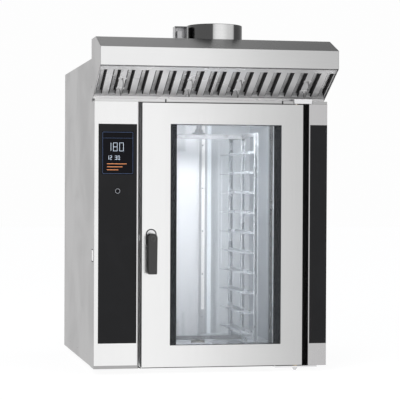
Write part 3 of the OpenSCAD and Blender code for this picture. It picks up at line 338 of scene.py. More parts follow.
def fill_soft_box(tree: bpy.types.NodeTree, source: Sockets) -> Sockets:
    """Makes a box with soft sides.

    Args:
        tree: The group's tree.
        source: The group's inputs.

    Returns:
        A mask, 1 inside the box and 0 outside.
    """
    past_low, to_high = (
        wire(tree, "ShaderNodeVectorMath", {0: source[more], 1: source[less]}, operation="SUBTRACT")
        for more, less in (("Vector", "Low"), ("High", "Vector")))
    inside = wire(tree, "ShaderNodeVectorMath", {0: past_low.outputs[0], 1: to_high.outputs[0]},
                  operation="MINIMUM")
    steps = wire(tree, "ShaderNodeVectorMath",
                 {0: inside.outputs[0], "Scale": source["Sharpness"]}, operation="SCALE")
    parts = wire(tree, "ShaderNodeSeparateXYZ", {0: steps.outputs[0]}).outputs
    least = parts["X"]
    for axis in "YZ":
        least = wire(tree, "ShaderNodeMath", {0: least, 1: parts[axis]}, operation="MINIMUM").outputs[0]
    smooth = wire(tree, "ShaderNodeMapRange", {"Value": least}, interpolation_type="SMOOTHSTEP")
    return {"Mask": smooth.outputs["Result"]}


@dataclass(frozen=True)
class Band:
    """A strip of light or shade on a sheet: its box, how bright it is and how soft."""

    low: Point
    high: Point
    gain: float
    soft: float = 0.006


@dataclass(frozen=True)
class Finish:
    """What every finish has: a name, a base colour and a roughness."""

    name: str
    color: Color
    roughness: float

    surface: ClassVar[str] = "DITHERED"

    def material(self) -> bpy.types.Material:
        """Gives the finish as a material, built once.

        Returns:
            The material.
        """
        if self.name in bpy.data.materials:
            return bpy.data.materials[self.name]
        made = bpy.data.materials.new(self.name)
        made.use_nodes = True
        made.diffuse_color = (*self.color, 1.0)
        made.surface_render_method = self.surface
        tree = made.node_tree
        place = wire(tree, "ShaderNodeTexCoord").outputs["Object"]
        feed(tree, tree.nodes["Principled BSDF"], {
            "Base Color": (*self.color, 1.0), "Roughness": self.roughness, **self.inputs(tree, place)})
        return made

    def inputs(self, tree: bpy.types.NodeTree, place: bpy.types.NodeSocket) -> dict[str, object]:
        """Builds the finish's own nodes.

        Args:
            tree: The material's tree.
            place: The object coordinates.

        Returns:
            A value or an output for each input of the shader that it fills.
        """
        raise NotImplementedError


@dataclass(frozen=True)
class Steel(Finish):
    """Brushed or smooth stainless steel sheet, with painted shade towards its right end and painted strips
    of light and shade where it has them.
    """

    grain: Grain = Grain.UPRIGHT
    contrast: float = 0.05
    bump: float = 0.08
    smudge: float = 0.05
    metallic: float = 1.0
    # share of painted shade at the object's right end
    falloff: float = 0.0
    # painted strips of light and shade, laid over the colour
    bands: tuple[Band, ...] = ()

    shade_from: ClassVar[float] = -0.35
    shade_to: ClassVar[float] = 0.62
    mark_scale: ClassVar[float] = 2.6
    line_depth: ClassVar[float] = 0.4 * MM

    def _banded(self, tree: bpy.types.NodeTree, place: bpy.types.NodeSocket,
                color: bpy.types.NodeSocket) -> bpy.types.NodeSocket:
        """Lays the strips of light and shade over a colour.

        Args:
            tree: The material's tree.
            place: The object coordinates.
            color: The colour's output.

        Returns:
            The banded colour's output.
        """
        for band in self.bands:
            mask = Pattern.SOFT_BOX.place(tree, {
                "Vector": place, "Low": band.low, "High": band.high, "Sharpness": 1.0 / band.soft})
            color = mixed(tree, mask["Mask"], color, (band.gain, band.gain, band.gain, 1.0),
                          blend_type="MULTIPLY", clamp_result=True)
        return color

    def _shade(self, tree: bpy.types.NodeTree, place: bpy.types.NodeSocket,
               color: bpy.types.NodeSocket) -> bpy.types.NodeSocket:
        """Paints shade on a colour: darkens it smoothly towards the right end of the object.

        Args:
            tree: The material's tree.
            place: The object coordinates.
            color: The colour's output.

        Returns:
            The shaded colour's output.
        """
        parts = wire(tree, "ShaderNodeSeparateXYZ", {0: place})
        ramp = wire(tree, "ShaderNodeMapRange", {
            "Value": parts.outputs["X"], "From Min": self.shade_from, "From Max": self.shade_to,
            "To Min": 1.0, "To Max": 1.0 - self.falloff}, interpolation_type="SMOOTHSTEP")
        return mixed(tree, 1.0, color, ramp.outputs["Result"], blend_type="MULTIPLY")

    def inputs(self, tree: bpy.types.NodeTree, place: bpy.types.NodeSocket) -> dict[str, object]:
        """Builds a metal with grain lines and wiping marks, and lays the painted shade and the painted
        strips of light and shade over its colour.
        """
        shade = Pattern.GRAIN.place(tree, {"Vector": place, "Stretch": self.grain.value})["Shade"]
        marks = Pattern.MARKS.place(tree, {"Vector": place, "Scale": self.mark_scale})["Mask"]
        color = tinted(tree, shade, self.color, 1.0 - self.contrast, 1.0 + self.contrast)
        # painted shade, darker towards the right end
        if self.falloff:
            color = self._shade(tree, place, color)
        return {"Metallic": self.metallic, "Base Color": self._banded(tree, place, color),
                "Roughness": mapped(tree, marks, self.roughness, self.roughness + self.smudge),
                "Normal": bumped(tree, shade, self.bump, self.line_depth)}


@dataclass(frozen=True)
class Moulded(Finish):
    """Plastic, rubber, paint or cast metal with a fine pebbled skin."""

    scale: float = 420.0
    contrast: float = 0.12
    bump: float = 0.12
    metallic: float = 0.0
    specular: float = 0.5

    uneven: ClassVar[float] = 0.05
    pebble_depth: ClassVar[float] = 0.3 * MM

    def inputs(self, tree: bpy.types.NodeTree, place: bpy.types.NodeSocket) -> dict[str, object]:
        """Builds a pebbled surface."""
        speckle = Pattern.SPECKLE.place(tree, {"Vector": place, "Scale": self.scale})
        shade = speckle["Shade"]
        return {"Metallic": self.metallic, "Specular IOR Level": self.specular,
                "Base Color": tinted(tree, shade, self.color, 1.0 - self.contrast, 1.0 + self.contrast),
                "Roughness": mapped(tree, shade, self.roughness - self.uneven,
                                    self.roughness + self.uneven),
                "Normal": bumped(tree, speckle["Height"], self.bump, self.pebble_depth)}


@dataclass(frozen=True)
class DarkGlass(Finish):
    """Glass that is printed dark on its back."""

    specular: float = 0.3

    mark_scale: ClassVar[float] = 5.0
    mark_rough: ClassVar[float] = 0.06
    mark_gain: ClassVar[float] = 1.2

    def inputs(self, tree: bpy.types.NodeTree, place: bpy.types.NodeSocket) -> dict[str, object]:
        """Builds a deep gloss with faint wiping marks."""
        marks = Pattern.MARKS.place(tree, {"Vector": place, "Scale": self.mark_scale})["Mask"]
        return {"Specular IOR Level": self.specular,
                "Roughness": mapped(tree, marks, self.roughness, self.roughness + self.mark_rough),
                "Base Color": tinted(tree, marks, self.color, 1.0, self.mark_gain)}


@dataclass(frozen=True)
class ClearGlass(Finish):
    """Clear pane glass, which lets light through without bending it."""

    opacity: float = 0.12

    surface: ClassVar[str] = "BLENDED"
    haze_scale: ClassVar[float] = 1.8
    haze_gain: ClassVar[float] = 1.35
    haze_rough: ClassVar[float] = 0.05

    def inputs(self, tree: bpy.types.NodeTree, place: bpy.types.NodeSocket) -> dict[str, object]:
        """Builds a mostly clear surface whose opacity grows a little with haze."""
        marks = Pattern.MARKS.place(tree, {"Vector": place, "Scale": self.haze_scale})["Mask"]
        return {"Specular IOR Level": 0.5,
                "Alpha": mapped(tree, marks, self.opacity, self.opacity * self.haze_gain),
                "Roughness": mapped(tree, marks, self.roughness, self.roughness + self.haze_rough)}


@dataclass(frozen=True)
class Glow(Finish):
    """A lit surface, such as a lamp's lens or a sign on the screen."""

    strength: float = 1.0

    cloud_scale: ClassVar[float] = 30.0
    dimmest: ClassVar[float] = 0.9

    def inputs(self, tree: bpy.types.NodeTree, place: bpy.types.NodeSocket) -> dict[str, object]:
        """Builds a lit surface with a slight unevenness."""
        marks = Pattern.MARKS.place(tree, {"Vector": place, "Scale": self.cloud_scale})["Mask"]
        return {"Emission Color": tinted(tree, marks, self.color, self.dimmest, 1.0),
                "Emission Strength": self.strength}


class Palette:
    """The finishes of this oven. A falloff in them is painted shade, and their bands are painted strips of
    light and shade.
    """

    # painted shade towards the right end of each sheet
    FRONT = Steel("front_steel", (0.84, 0.84, 0.84), 0.22, Grain.UPRIGHT, 0.02, 0.04, 0.04,
                  falloff=0.40)
    # painted shade towards the right end
    FASCIA = Steel("fascia_steel", (0.82, 0.82, 0.82), 0.24, Grain.ACROSS, 0.02, 0.04, 0.04,
                   falloff=0.40)
    # painted shade towards the right end, and a thin upright strip of painted shade
    COVER = Steel("cover_steel", (0.84, 0.83, 0.835), 0.24, Grain.UPRIGHT, 0.03, 0.05, 0.04,
                  falloff=0.42, bands=(
                      Band((0.500, -0.5375, 0.0), (0.5075, -0.30, 1.40), 0.10, 0.0008),))
    # a thin upright strip of painted shade by the door's left edge, over the front's painted shade
    DOOR = replace(FRONT, name="door_steel", bands=(
        Band((-0.3595, -0.5395, 0.0), (-0.3570, -0.40, 1.40), 0.30, 0.0004),))
    # a narrow upright strip of painted shade at the fascia's edge by the door, over the front's painted
    # shade
    COLUMN_EDGE = replace(FRONT, name="column_edge_steel", bands=(
        Band((-0.3812, -0.56, 0.0), (-0.370, -0.53, 1.40), 0.30, 0.001),))
    # painted reflection on the round collar: dark bands on its left and right leave a lighter strip between
    DUCT = Steel("duct_steel", (0.72, 0.72, 0.72), 0.16, Grain.ACROSS, 0.05, 0.05, 0.05, bands=(
        Band((-0.125, -0.56, 1.60), (0.006, -0.20, 1.80), 0.22, 0.005),
        Band((0.045, -0.56, 1.60), (0.230, -0.20, 1.80), 0.62, 0.060),
        Band((0.112, -0.56, 1.60), (0.230, -0.20, 1.80), 0.22, 0.005)))
    SIDE = Steel("side_steel", (0.43, 0.425, 0.427), 0.34, Grain.UPRIGHT, 0.06, 0.08, 0.06)
    # a thin painted highlight line and a strip of painted shade on the column's side by the door
    COLUMN = replace(SIDE, name="column_steel", bands=(
        Band((-0.376, -0.56, 0.0), (-0.3688, -0.42, 1.40), 2.6, 0.001),
        Band((-0.368, -0.56, 0.0), (-0.350, -0.42, 1.40), 0.55, 0.001)))
    REAR = Steel("rear_steel", (0.50, 0.50, 0.51), 0.40, Grain.ACROSS, 0.05, 0.08, 0.06)
    DARK_STEEL = Steel("shaded_steel", (0.22, 0.22, 0.23), 0.36, Grain.ACROSS, 0.06, 0.08, 0.05)
    # a strip of painted shade on the bulkhead's front at the right
    FRAME = Steel("frame_steel", (0.78, 0.78, 0.78), 0.34, Grain.UPRIGHT, 0.04, 0.05, 0.05,
                  metallic=0.4, bands=(
                      Band((0.462, -0.44, 0.0), (0.545, -0.41, 1.40), 0.15, 0.002),))
    # painted highlight lines on the back wall; on the right wall a strip of painted shade and two painted
    # highlight lines
    CHAMBER = Steel("chamber_steel", (0.51, 0.535, 0.56), 0.42, Grain.UPRIGHT, 0.04, 0.03, 0.08,
                    metallic=0.5, bands=(
                        Band((0.198, 0.50, 0.10), (0.226, 0.60, 1.33), 1.75, 0.005),
                        Band((0.266, 0.50, 0.30), (0.271, 0.60, 1.20), 1.25, 0.002),
                        Band((0.280, 0.50, 0.50), (0.290, 0.60, 1.10), 1.20, 0.003),
                        Band((0.440, 0.002, 0.05), (0.460, 0.078, 1.40), 0.42, 0.012),
                        Band((0.440, -0.045, 0.05), (0.460, -0.015, 1.40), 1.7, 0.006),
                        Band((0.440, 0.105, 0.30), (0.460, 0.118, 1.30), 1.3, 0.004)))
    # painted reflection: darker steps at the lower left and upper left leave a bright patch; a thin painted
    # highlight line; on the rear strip a bright painted strip between painted shade
    BAFFLE = Steel("baffle_steel", (0.56, 0.575, 0.60), 0.40, Grain.UPRIGHT, 0.02, 0.02, 0.06,
                   metallic=0.2, bands=(
                       Band((-0.40, 0.38, -0.10), (0.022, 0.45, 0.203), 0.62, 0.03),
                       Band((0.018, 0.38, -0.10), (0.062, 0.45, 0.250), 0.62, 0.05),
                       Band((0.058, 0.38, -0.10), (0.100, 0.45, 0.370), 0.78, 0.07),
                       Band((0.090, 0.38, -0.10), (0.150, 0.45, 0.560), 0.88, 0.09),
                       Band((-0.40, 0.38, 1.130), (0.062, 0.45, 1.40), 0.66, 0.03),
                       Band((0.124, 0.38, 0.05), (0.1285, 0.45, 1.40), 1.4, 0.001),
                       Band((0.127, 0.49, 0.20), (0.162, 0.60, 1.40), 0.95, 0.004),
                       Band((0.166, 0.49, 0.24), (0.186, 0.60, 1.36), 2.6, 0.002),
                       Band((0.187, 0.49, 0.05), (0.200, 0.60, 1.40), 0.60, 0.002)))
    # painted shade: darker at the upper front and along the top rails
    RACK = Steel("rack_steel", (0.42, 0.445, 0.475), 0.25, Grain.DEEP, 0.05, 0.05, 0.06, metallic=0.5,
                 bands=(Band((-0.25, -0.34, 0.98), (0.32, -0.26, 1.30), 0.34, 0.09),
                        Band((-0.25, -0.32, 1.19), (0.32, 0.32, 1.30), 0.40, 0.005)))
    BEAM = Steel("rack_beam_steel", (0.165, 0.17, 0.18), 0.25, Grain.ACROSS, 0.05, 0.05, 0.06,
                 metallic=0.4)
    # a broad strip of near-black painted shade at the pan's right
    PAN = Steel("door_pan_steel", (0.70, 0.70, 0.71), 0.24, Grain.CAST, 0.03, 0.05, 0.05, bands=(
        Band((0.310, -0.516, 0.00), (0.404, -0.40, 1.40), 0.055, 0.004),))
    # a lighter copy of the rack steel: painted highlight on the lips' front faces, with the same painted
    # shade at the upper front
    RACK_EDGE = Steel("rack_edge_steel", (0.34, 0.36, 0.38), 0.22, Grain.UPRIGHT, 0.04, 0.04, 0.05,
                      metallic=0.3, bands=(
                          Band((-0.25, -0.34, 0.98), (0.32, -0.26, 1.30), 0.40, 0.09),))
    # lit and shaded copies of one filter steel, given to faces by their facing: webs with painted shade
    # towards the right end, a painted lit strip on the rear webs, flat grey channel ends, and near-black
    # painted shade on the flanks
    FILTER = Steel("filter_steel", (0.97, 0.96, 0.96), 0.26, Grain.DEEP, 0.03, 0.03, 0.05,
                   metallic=0.25, falloff=0.30)
    FILTER_REAR = Steel("filter_rear_steel", (1.0, 0.99, 0.99), 0.25, Grain.DEEP, 0.01, 0.02, 0.05,
                        metallic=0.6)
    FILTER_END = Steel("filter_end_steel", (0.72, 0.72, 0.72), 0.40, Grain.CAST, 0.05, 0.05, 0.05,
                       metallic=0.0)
    FILTER_SIDE = Moulded("filter_shadow", (0.045, 0.044, 0.044), 0.6, 300.0, 0.1, 0.05, 0.0, 0.25)
    BAIL = Steel("bail_wire", (0.30, 0.30, 0.30), 0.30, Grain.CAST, 0.05, 0.05, 0.05)
    # painted shade towards the right end
    GUTTER = Steel("gutter_steel", (0.66, 0.66, 0.66), 0.22, Grain.ACROSS, 0.03, 0.04, 0.04,
                   falloff=0.40)
    BRIGHT = Steel("bright_fitting_steel", (0.74, 0.74, 0.75), 0.20, Grain.CAST, 0.05, 0.05, 0.05)
    HINGE = replace(BRIGHT, name="hinge_steel", grain=Grain.ACROSS, contrast=0.08)
    MACHINED = Steel("machined_steel", (0.50, 0.50, 0.51), 0.34, Grain.CAST, 0.08, 0.10, 0.05)
    BEARING = Steel("bearing_bronze", (0.46, 0.43, 0.38), 0.32, Grain.CAST, 0.08, 0.10, 0.05)
    BRASS = Steel("fitting_brass", (0.60, 0.42, 0.18), 0.32, Grain.CAST, 0.08, 0.10, 0.05)
    SHEATH = Moulded("heater_sheath", (0.12, 0.11, 0.10), 0.55, 300.0, 0.2, 0.2, 0.6)
    MOTOR = Moulded("motor_paint", (0.10, 0.13, 0.18), 0.45, 300.0, 0.1, 0.15)
    LEVER = Moulded("lever_black", (0.035, 0.034, 0.034), 0.42, 700.0, 0.15, 0.12)
    # painted shade: a near-black copy of the lever plastic for its left-facing side
    LEVER_SIDE = Moulded("lever_shadow", (0.006, 0.006, 0.006), 0.5, 700.0, 0.15, 0.12, 0.0, 0.1)
    CAP_RIM = Moulded("cap_rim_grey", (0.11, 0.11, 0.11), 0.35, 700.0, 0.10, 0.05)
    RUBBER = Moulded("seal_rubber", (0.020, 0.020, 0.021), 0.65, 500.0, 0.2, 0.2)
    FEET = Moulded("foot_plastic", (0.02, 0.02, 0.02), 0.55, 500.0, 0.15, 0.15)
    WOOL = Moulded("mineral_wool", (0.55, 0.47, 0.27), 0.95, 120.0, 0.3, 1.0, 0.0, 0.1)
    FOIL = Moulded("foil_facing", (0.42, 0.42, 0.42), 0.45, 90.0, 0.15, 0.4, 0.8)
    PANEL_GLASS = DarkGlass("panel_glass", (0.009, 0.009, 0.010), 0.08, 0.16)
    STRIP_GLASS = DarkGlass("strip_glass", (0.009, 0.009, 0.010), 0.08, 0.16)
    SCREEN = DarkGlass("screen_glass", (0.001, 0.001, 0.003), 0.06, 0.12)
    BORDER = DarkGlass("printed_border", (0.004, 0.004, 0.005), 0.10, 0.05)
    OUTER_PANE = ClearGlass("outer_pane", (0.82, 0.88, 0.94), 0.03, 0.03)
    INNER_PANE = ClearGlass("inner_pane", (0.84, 0.89, 0.94), 0.03, 0.05)
    LAMP = Glow("lamp_lens", (1.0, 0.97, 0.90), 0.3, 1.2)
    SIGN = Glow("screen_sign", (0.62, 0.70, 0.80), 0.3, 0.55)
    SIGN_DIM = Glow("screen_line", (0.08, 0.13, 0.26), 0.3, 0.20)
    KEY_RING = Glow("key_ring", (0.30, 0.31, 0.33), 0.3, 0.45)
    SIGN_WARM = Glow("screen_warm_sign", (0.80, 0.30, 0.12), 0.3, 0.5)


# ---------------------------------------------------------------- meshes


def to_object(name: str, mesh: bpy.types.Mesh, finish: Finish) -> bpy.types.Object:
    """Links a mesh as an object at the origin.

    Args:
        name: The piece's name.
        mesh: Its mesh, in the model's frame.
        finish: Its finish.

    Returns:
        The new object.
    """
    mesh.name = name
    made = bpy.data.objects.new(name, mesh)
    bpy.context.scene.collection.objects.link(made)
    mesh.materials.clear()
    mesh.materials.append(finish.material())
    return made


def smooth_by_angle(mesh: bpy.types.Mesh, degrees: float = 40.0) -> None:
    """Shades a mesh smooth, with sharp edges where it bends more than an angle.

    Args:
        mesh: The mesh.
        degrees: The angle.
    """
    mesh.shade_smooth()
    mesh.set_sharp_from_angle(angle=math.radians(degrees))


def evaluated_mesh(source: bpy.types.Object) -> bpy.types.Mesh:
    """Gives a plain mesh of an object with its modifiers applied.

    Args:
        source: The object.

    Returns:
        The new mesh.
    """
    bpy.context.view_layer.update()
    graph = bpy.context.evaluated_depsgraph_get()
    return bpy.data.meshes.new_from_object(source.evaluated_get(graph), depsgraph=graph)


def merged_copy(node: bpy.types.Object) -> bpy.types.Mesh:
    """Copies a node's mesh and joins its loose triangles into flat faces.

    Args:
        node: The node's object.

    Returns:
        The cleaned copy.
    """
    mesh = node.data.copy()
    work = bmesh.new()
    work.from_mesh(mesh)
    bmesh.ops.remove_doubles(work, verts=work.verts, dist=WELD)
    bmesh.ops.dissolve_limit(work, angle_limit=math.radians(0.5), verts=work.verts, edges=work.edges)
    work.to_mesh(mesh)
    work.free()
    return mesh


def rounded_copy(name: str, node: bpy.types.Object, width: float,
                 finish: Finish) -> bpy.types.Object:
    """Copies a node with its sharp edges rounded.

    Args:
        name: The piece's name.
        node: The node's object.
        width: The width of the rounding.
        finish: The finish.

    Returns:
        The rounded piece.
    """
    piece = to_object(name, merged_copy(node), finish)
    piece.data.shade_smooth()
    bevel = piece.modifiers.new("edge", "BEVEL")
    bevel.width = width
    bevel.segments = 2
    bevel.limit_method = "ANGLE"
    bevel.angle_limit = math.radians(35)
    bevel.use_clamp_overlap = True
    flat = piece.modifiers.new("flat", "WEIGHTED_NORMAL")
    flat.weight = 80
    flat.keep_sharp = True
    plain = evaluated_mesh(piece)
    piece.modifiers.clear()
    old = piece.data
    piece.data = plain
    bpy.data.meshes.remove(old)
    return piece


def loose_boxes(node: bpy.types.Object) -> list[tuple[Vector, Vector]]:
    """Finds the box of each separate solid of a node.

    Args:
        node: The node's object.

    Returns:
        The lowest and highest corner of each, from the lowest Z upwards.
    """
    work = bmesh.new()
    work.from_mesh(node.data)
    bmesh.ops.remove_doubles(work, verts=work.verts, dist=WELD)
    left, boxes = set(work.verts), []
    while left:
        island, front = [], [left.pop()]
        while front:
            vert = front.pop()
            island.append(vert.co.copy())
            for edge in vert.link_edges:
                other = edge.other_vert(vert)
                if other in left:
                    left.remove(other)
                    front.append(other)
        boxes.append((Vector(map(min, zip(*island))), Vector(map(max, zip(*island)))))
    work.free()
    return sorted(boxes, key=lambda ends: tuple(ends[0].zxy))


def box_faces(work: bmesh.types.BMesh, low: Point, high: Point) -> None:
    """Adds a closed box.

    Args:
        work: The mesh being built.
        low: Its lowest corner.
        high: Its highest corner.
    """
    size = Vector(high) - Vector(low)
    place = Matrix.Translation((Vector(high) + Vector(low)) / 2) @ Matrix.Diagonal((*size, 1.0))
    bmesh.ops.create_cube(work, size=1.0, matrix=place)


def mesh_from(name: str, build: Callable[[bmesh.types.BMesh], None]) -> bpy.types.Mesh:
    """Makes a mesh with a building function.

    Args:
        name: The mesh's name.
        build: Fills the working mesh.

    Returns:
        The mesh.
    """
    work = bmesh.new()
    build(work)
    bmesh.ops.recalc_face_normals(work, faces=work.faces)
    mesh = bpy.data.meshes.new(name)
    work.to_mesh(mesh)
    work.free()
    return mesh


def built(name: str, build: Callable[[bmesh.types.BMesh], None], finish: Finish) -> bpy.types.Object:
    """Makes a piece with a building function.

    Args:
        name: The piece's name.
        build: Fills the working mesh.
        finish: The finish.

    Returns:
        The piece.
    """
    return to_object(name, mesh_from(name, build), finish)


def plate_outline(width: float, height: float, radius: float, steps: int = 6) -> list[tuple[float, float]]:
    """Gives a rectangle's outline with round corners, centred.

    Args:
        width: Its width.
        height: Its height.
        radius: The corner radius.
        steps: Points in each corner, less one.

    Returns:
        The outline's points, anticlockwise.
    """
    points = []
    for corner, (sx, sy) in enumerate(((1, 1), (-1, 1), (-1, -1), (1, -1))):
        for i in range(steps + 1):
            turn = math.pi / 2 * (corner + i / steps)
            points.append((sx * (width / 2 - radius) + radius * math.cos(turn),
                           sy * (height / 2 - radius) + radius * math.sin(turn)))
    return points


def circle_outline(radius: float, count: int) -> list[tuple[float, float]]:
    """Gives a circle's outline, centred.

    Args:
        radius: Its radius.
        count: How many points it has.

    Returns:
        The outline's points, anticlockwise.
    """
    return [(radius * math.cos(math.tau * i / count), radius * math.sin(math.tau * i / count))
            for i in range(count)]


def walls(work: bmesh.types.BMesh, first: Sequence[bmesh.types.BMVert],
          second: Sequence[bmesh.types.BMVert]) -> None:
    """Joins two closed rows of as many points with faces.

    Args:
        work: The mesh being built.
        first: The first row.
        second: The second row.
    """
    for i in range(len(first)):
        j = (i + 1) % len(first)
        work.faces.new((first[i], first[j], second[j], second[i]))


def ring_plate(work: bmesh.types.BMesh, outer: Sequence[tuple[float, float]],
               inner: Sequence[tuple[float, float]], place: Placing, depth: float) -> None:
    """Adds a flat closed ring between two outlines with as many points.

    Args:
        work: The mesh being built.
        outer: The outer outline.
        inner: The inner outline.
        place: Turns outline coordinates and a depth into a point.
        depth: The ring's thickness.
    """
    rows = [[work.verts.new(place(u, v, level)) for u, v in outline]
            for outline, level in ((outer, 0.0), (inner, 0.0), (inner, depth), (outer, depth))]
    for first, second in zip(rows, rows[1:] + rows[:1]):
        walls(work, first, second)


def bar(work: bmesh.types.BMesh, section: Sequence[tuple[float, float]], place: Placing,
        start: float, end: float) -> None:
    """Adds a closed straight bar.

    Args:
        work: The mesh being built.
        section: The outline of its section.
        place: Turns outline coordinates and a distance along the bar into a point.
        start: Where it starts.
        end: Where it ends.
    """
    rows = [[work.verts.new(place(u, v, along)) for u, v in section] for along in (start, end)]
    for row in rows:
        work.faces.new(row)
    walls(work, *rows)


# ---------------------------------------------------------------- repeats by Geometry Nodes


class HeadStyle(Enum):
    """The head of a fastener: a screw has a cross recess, and a rivet is plain."""

    SCREW = "screw"
    RIVET = "rivet"


@dataclass
class FastenerRow:
    """Fastener heads at given points, made by a Geometry Nodes tree."""

    name: str
    points: list[Point]
    direction: Point
    radius: float
    height: float
    style: HeadStyle = HeadStyle.SCREW

    def _tree(self, finish: Finish) -> bpy.types.GeometryNodeTree:
        """Builds the tree that places one domed head on each point.

        Args:
            finish: The heads' finish.

        Returns:
            The tree.
        """
        tree = bpy.data.node_groups.new(self.name + "_tree", "GeometryNodeTree")
        face = tree.interface
        face.new_socket("Points", in_out="INPUT", socket_type="NodeSocketGeometry")
        for label in ("Radius", "Height"):
            face.new_socket(label, in_out="INPUT", socket_type="NodeSocketFloat")
        face.new_socket("Direction", in_out="INPUT", socket_type="NodeSocketVector")
        face.new_socket("Seed", in_out="INPUT", socket_type="NodeSocketInt")
        face.new_socket("Heads", in_out="OUTPUT", socket_type="NodeSocketGeometry")
        source = wire(tree, "NodeGroupInput").outputs
        ball = wire(tree, "GeometryNodeMeshUVSphere", {"Segments": 20, "Rings": 12, "Radius": 1.0})
        head = ball.outputs["Mesh"]
        if self.style is HeadStyle.SCREW:
            head = self._crossed(tree, head)
        size = wire(tree, "ShaderNodeCombineXYZ", {
            "X": source["Radius"], "Y": source["Radius"], "Z": source["Height"]})
        flat = wire(tree, "GeometryNodeTransform", {"Geometry": head, "Scale": size.outputs[0]})
        turn = wire(tree, "FunctionNodeAlignRotationToVector", {"Vector": source["Direction"]},
                    axis="Z")
        spin = wire(tree, "FunctionNodeRandomValue", {"Max": math.pi, "Seed": source["Seed"]},
                    data_type="FLOAT")
        angle = wire(tree, "FunctionNodeAxisAngleToRotation", {
            "Axis": (0.0, 0.0, 1.0), "Angle": socket(spin, "Value", output=True)})
        spun = wire(tree, "FunctionNodeRotateRotation", {
            "Rotation": turn.outputs["Rotation"], "Rotate By": angle.outputs["Rotation"]},
            rotation_space="LOCAL")
        put = wire(tree, "GeometryNodeInstanceOnPoints", {
            "Points": source["Points"], "Instance": flat.outputs["Geometry"],
            "Rotation": spun.outputs["Rotation"]})
        real = wire(tree, "GeometryNodeRealizeInstances", {"Geometry": put.outputs["Instances"]})
        paint = wire(tree, "GeometryNodeSetMaterial", {
            "Geometry": real.outputs["Geometry"], "Material": finish.material()})
        wire(tree, "NodeGroupOutput", {"Heads": paint.outputs["Geometry"]})
        return tree

    @staticmethod
    def _crossed(tree: bpy.types.GeometryNodeTree,
                 head: bpy.types.NodeSocket) -> bpy.types.NodeSocket:
        """Cuts a cross recess into the unit head.

        Args:
            tree: The tree being built.
            head: The output with the round head.

        Returns:
            The output with the cut head.
        """
        cut = wire(tree, "GeometryNodeMeshBoolean", {"Mesh 1": head}, operation="DIFFERENCE")
        for size in ((0.95, 0.2, 1.0), (0.2, 0.95, 1.0)):
            arm = wire(tree, "GeometryNodeMeshCube", {"Size": size})
            lifted = wire(tree, "GeometryNodeTransform", {
                "Geometry": arm.outputs["Mesh"], "Translation": (0.0, 0.0, 1.0)})
            feed(tree, cut, {"Mesh 2": lifted.outputs["Geometry"]})
        return cut.outputs["Mesh"]

    def make(self, finish: Finish) -> bpy.types.Object:
        """Makes the heads as one plain mesh.

        Args:
            finish: Their finish.

        Returns:
            The piece.
        """
        cloud = bpy.data.meshes.new(self.name + "_points")
        cloud.from_pydata([Vector(p) for p in self.points], [], [])
        piece = to_object(self.name, cloud, finish)
        tree = self._tree(finish)
        modifier = piece.modifiers.new("heads", "NODES")
        modifier.node_group = tree
        values = {"Radius": self.radius, "Height": self.height, "Direction": self.direction,
                  "Seed": 7}
        for item in tree.interface.items_tree:
            if item.in_out == "INPUT" and item.name in values:
                modifier[item.identifier] = values[item.name]
        plain = evaluated_mesh(piece)
        piece.modifiers.clear()
        piece.data = plain
        smooth_by_angle(plain, 35)
        return piece


# ---------------------------------------------------------------- sub-assemblies


@dataclass
class Assembly:
    """A group of nodes of the model and the pieces made for them."""

    nodes: dict[str, bpy.types.Object]
    body: str = "cabinet"

    def paint(self, finish: Finish, *names: str) -> None:
        """Gives nodes a finish.

        Args:
            finish: The finish.
            names: The nodes.
        """
        for name in names:
            mesh = self.nodes[name].data
            mesh.materials.clear()
            mesh.materials.append(finish.material())
            log.info("%s: %s", name, finish.name)

    def add(self, piece: bpy.types.Object, slot: str, *replaced: str,
            body: str | None = None) -> None:
        """Hands a finished piece to its body.

        Args:
            piece: The piece.
            slot: The record's material slot; not used.
            replaced: The nodes that it stands for.
            body: Its body, where it isn't the assembly's own.
        """
        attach(piece, body or self.body)
        if replaced:
            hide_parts(*replaced)
        log.info("%s: %d faces", piece.name, len(piece.data.polygons))

    def round_sheet(self, node: str, width: float, finish: Finish, slot: str,
                    body: str | None = None) -> bpy.types.Object:
        """Replaces a node with a copy that has rounded edges.

        Args:
            node: The node.
            width: The width of the rounding.
            finish: The finish.
            slot: The record's material slot.
            body: Its body, where it isn't the assembly's own.

        Returns:
            The piece.
        """
        piece = rounded_copy(node + "_sheet", self.nodes[node], width, finish)
        self.add(piece, slot, node, body=body)
        return piece


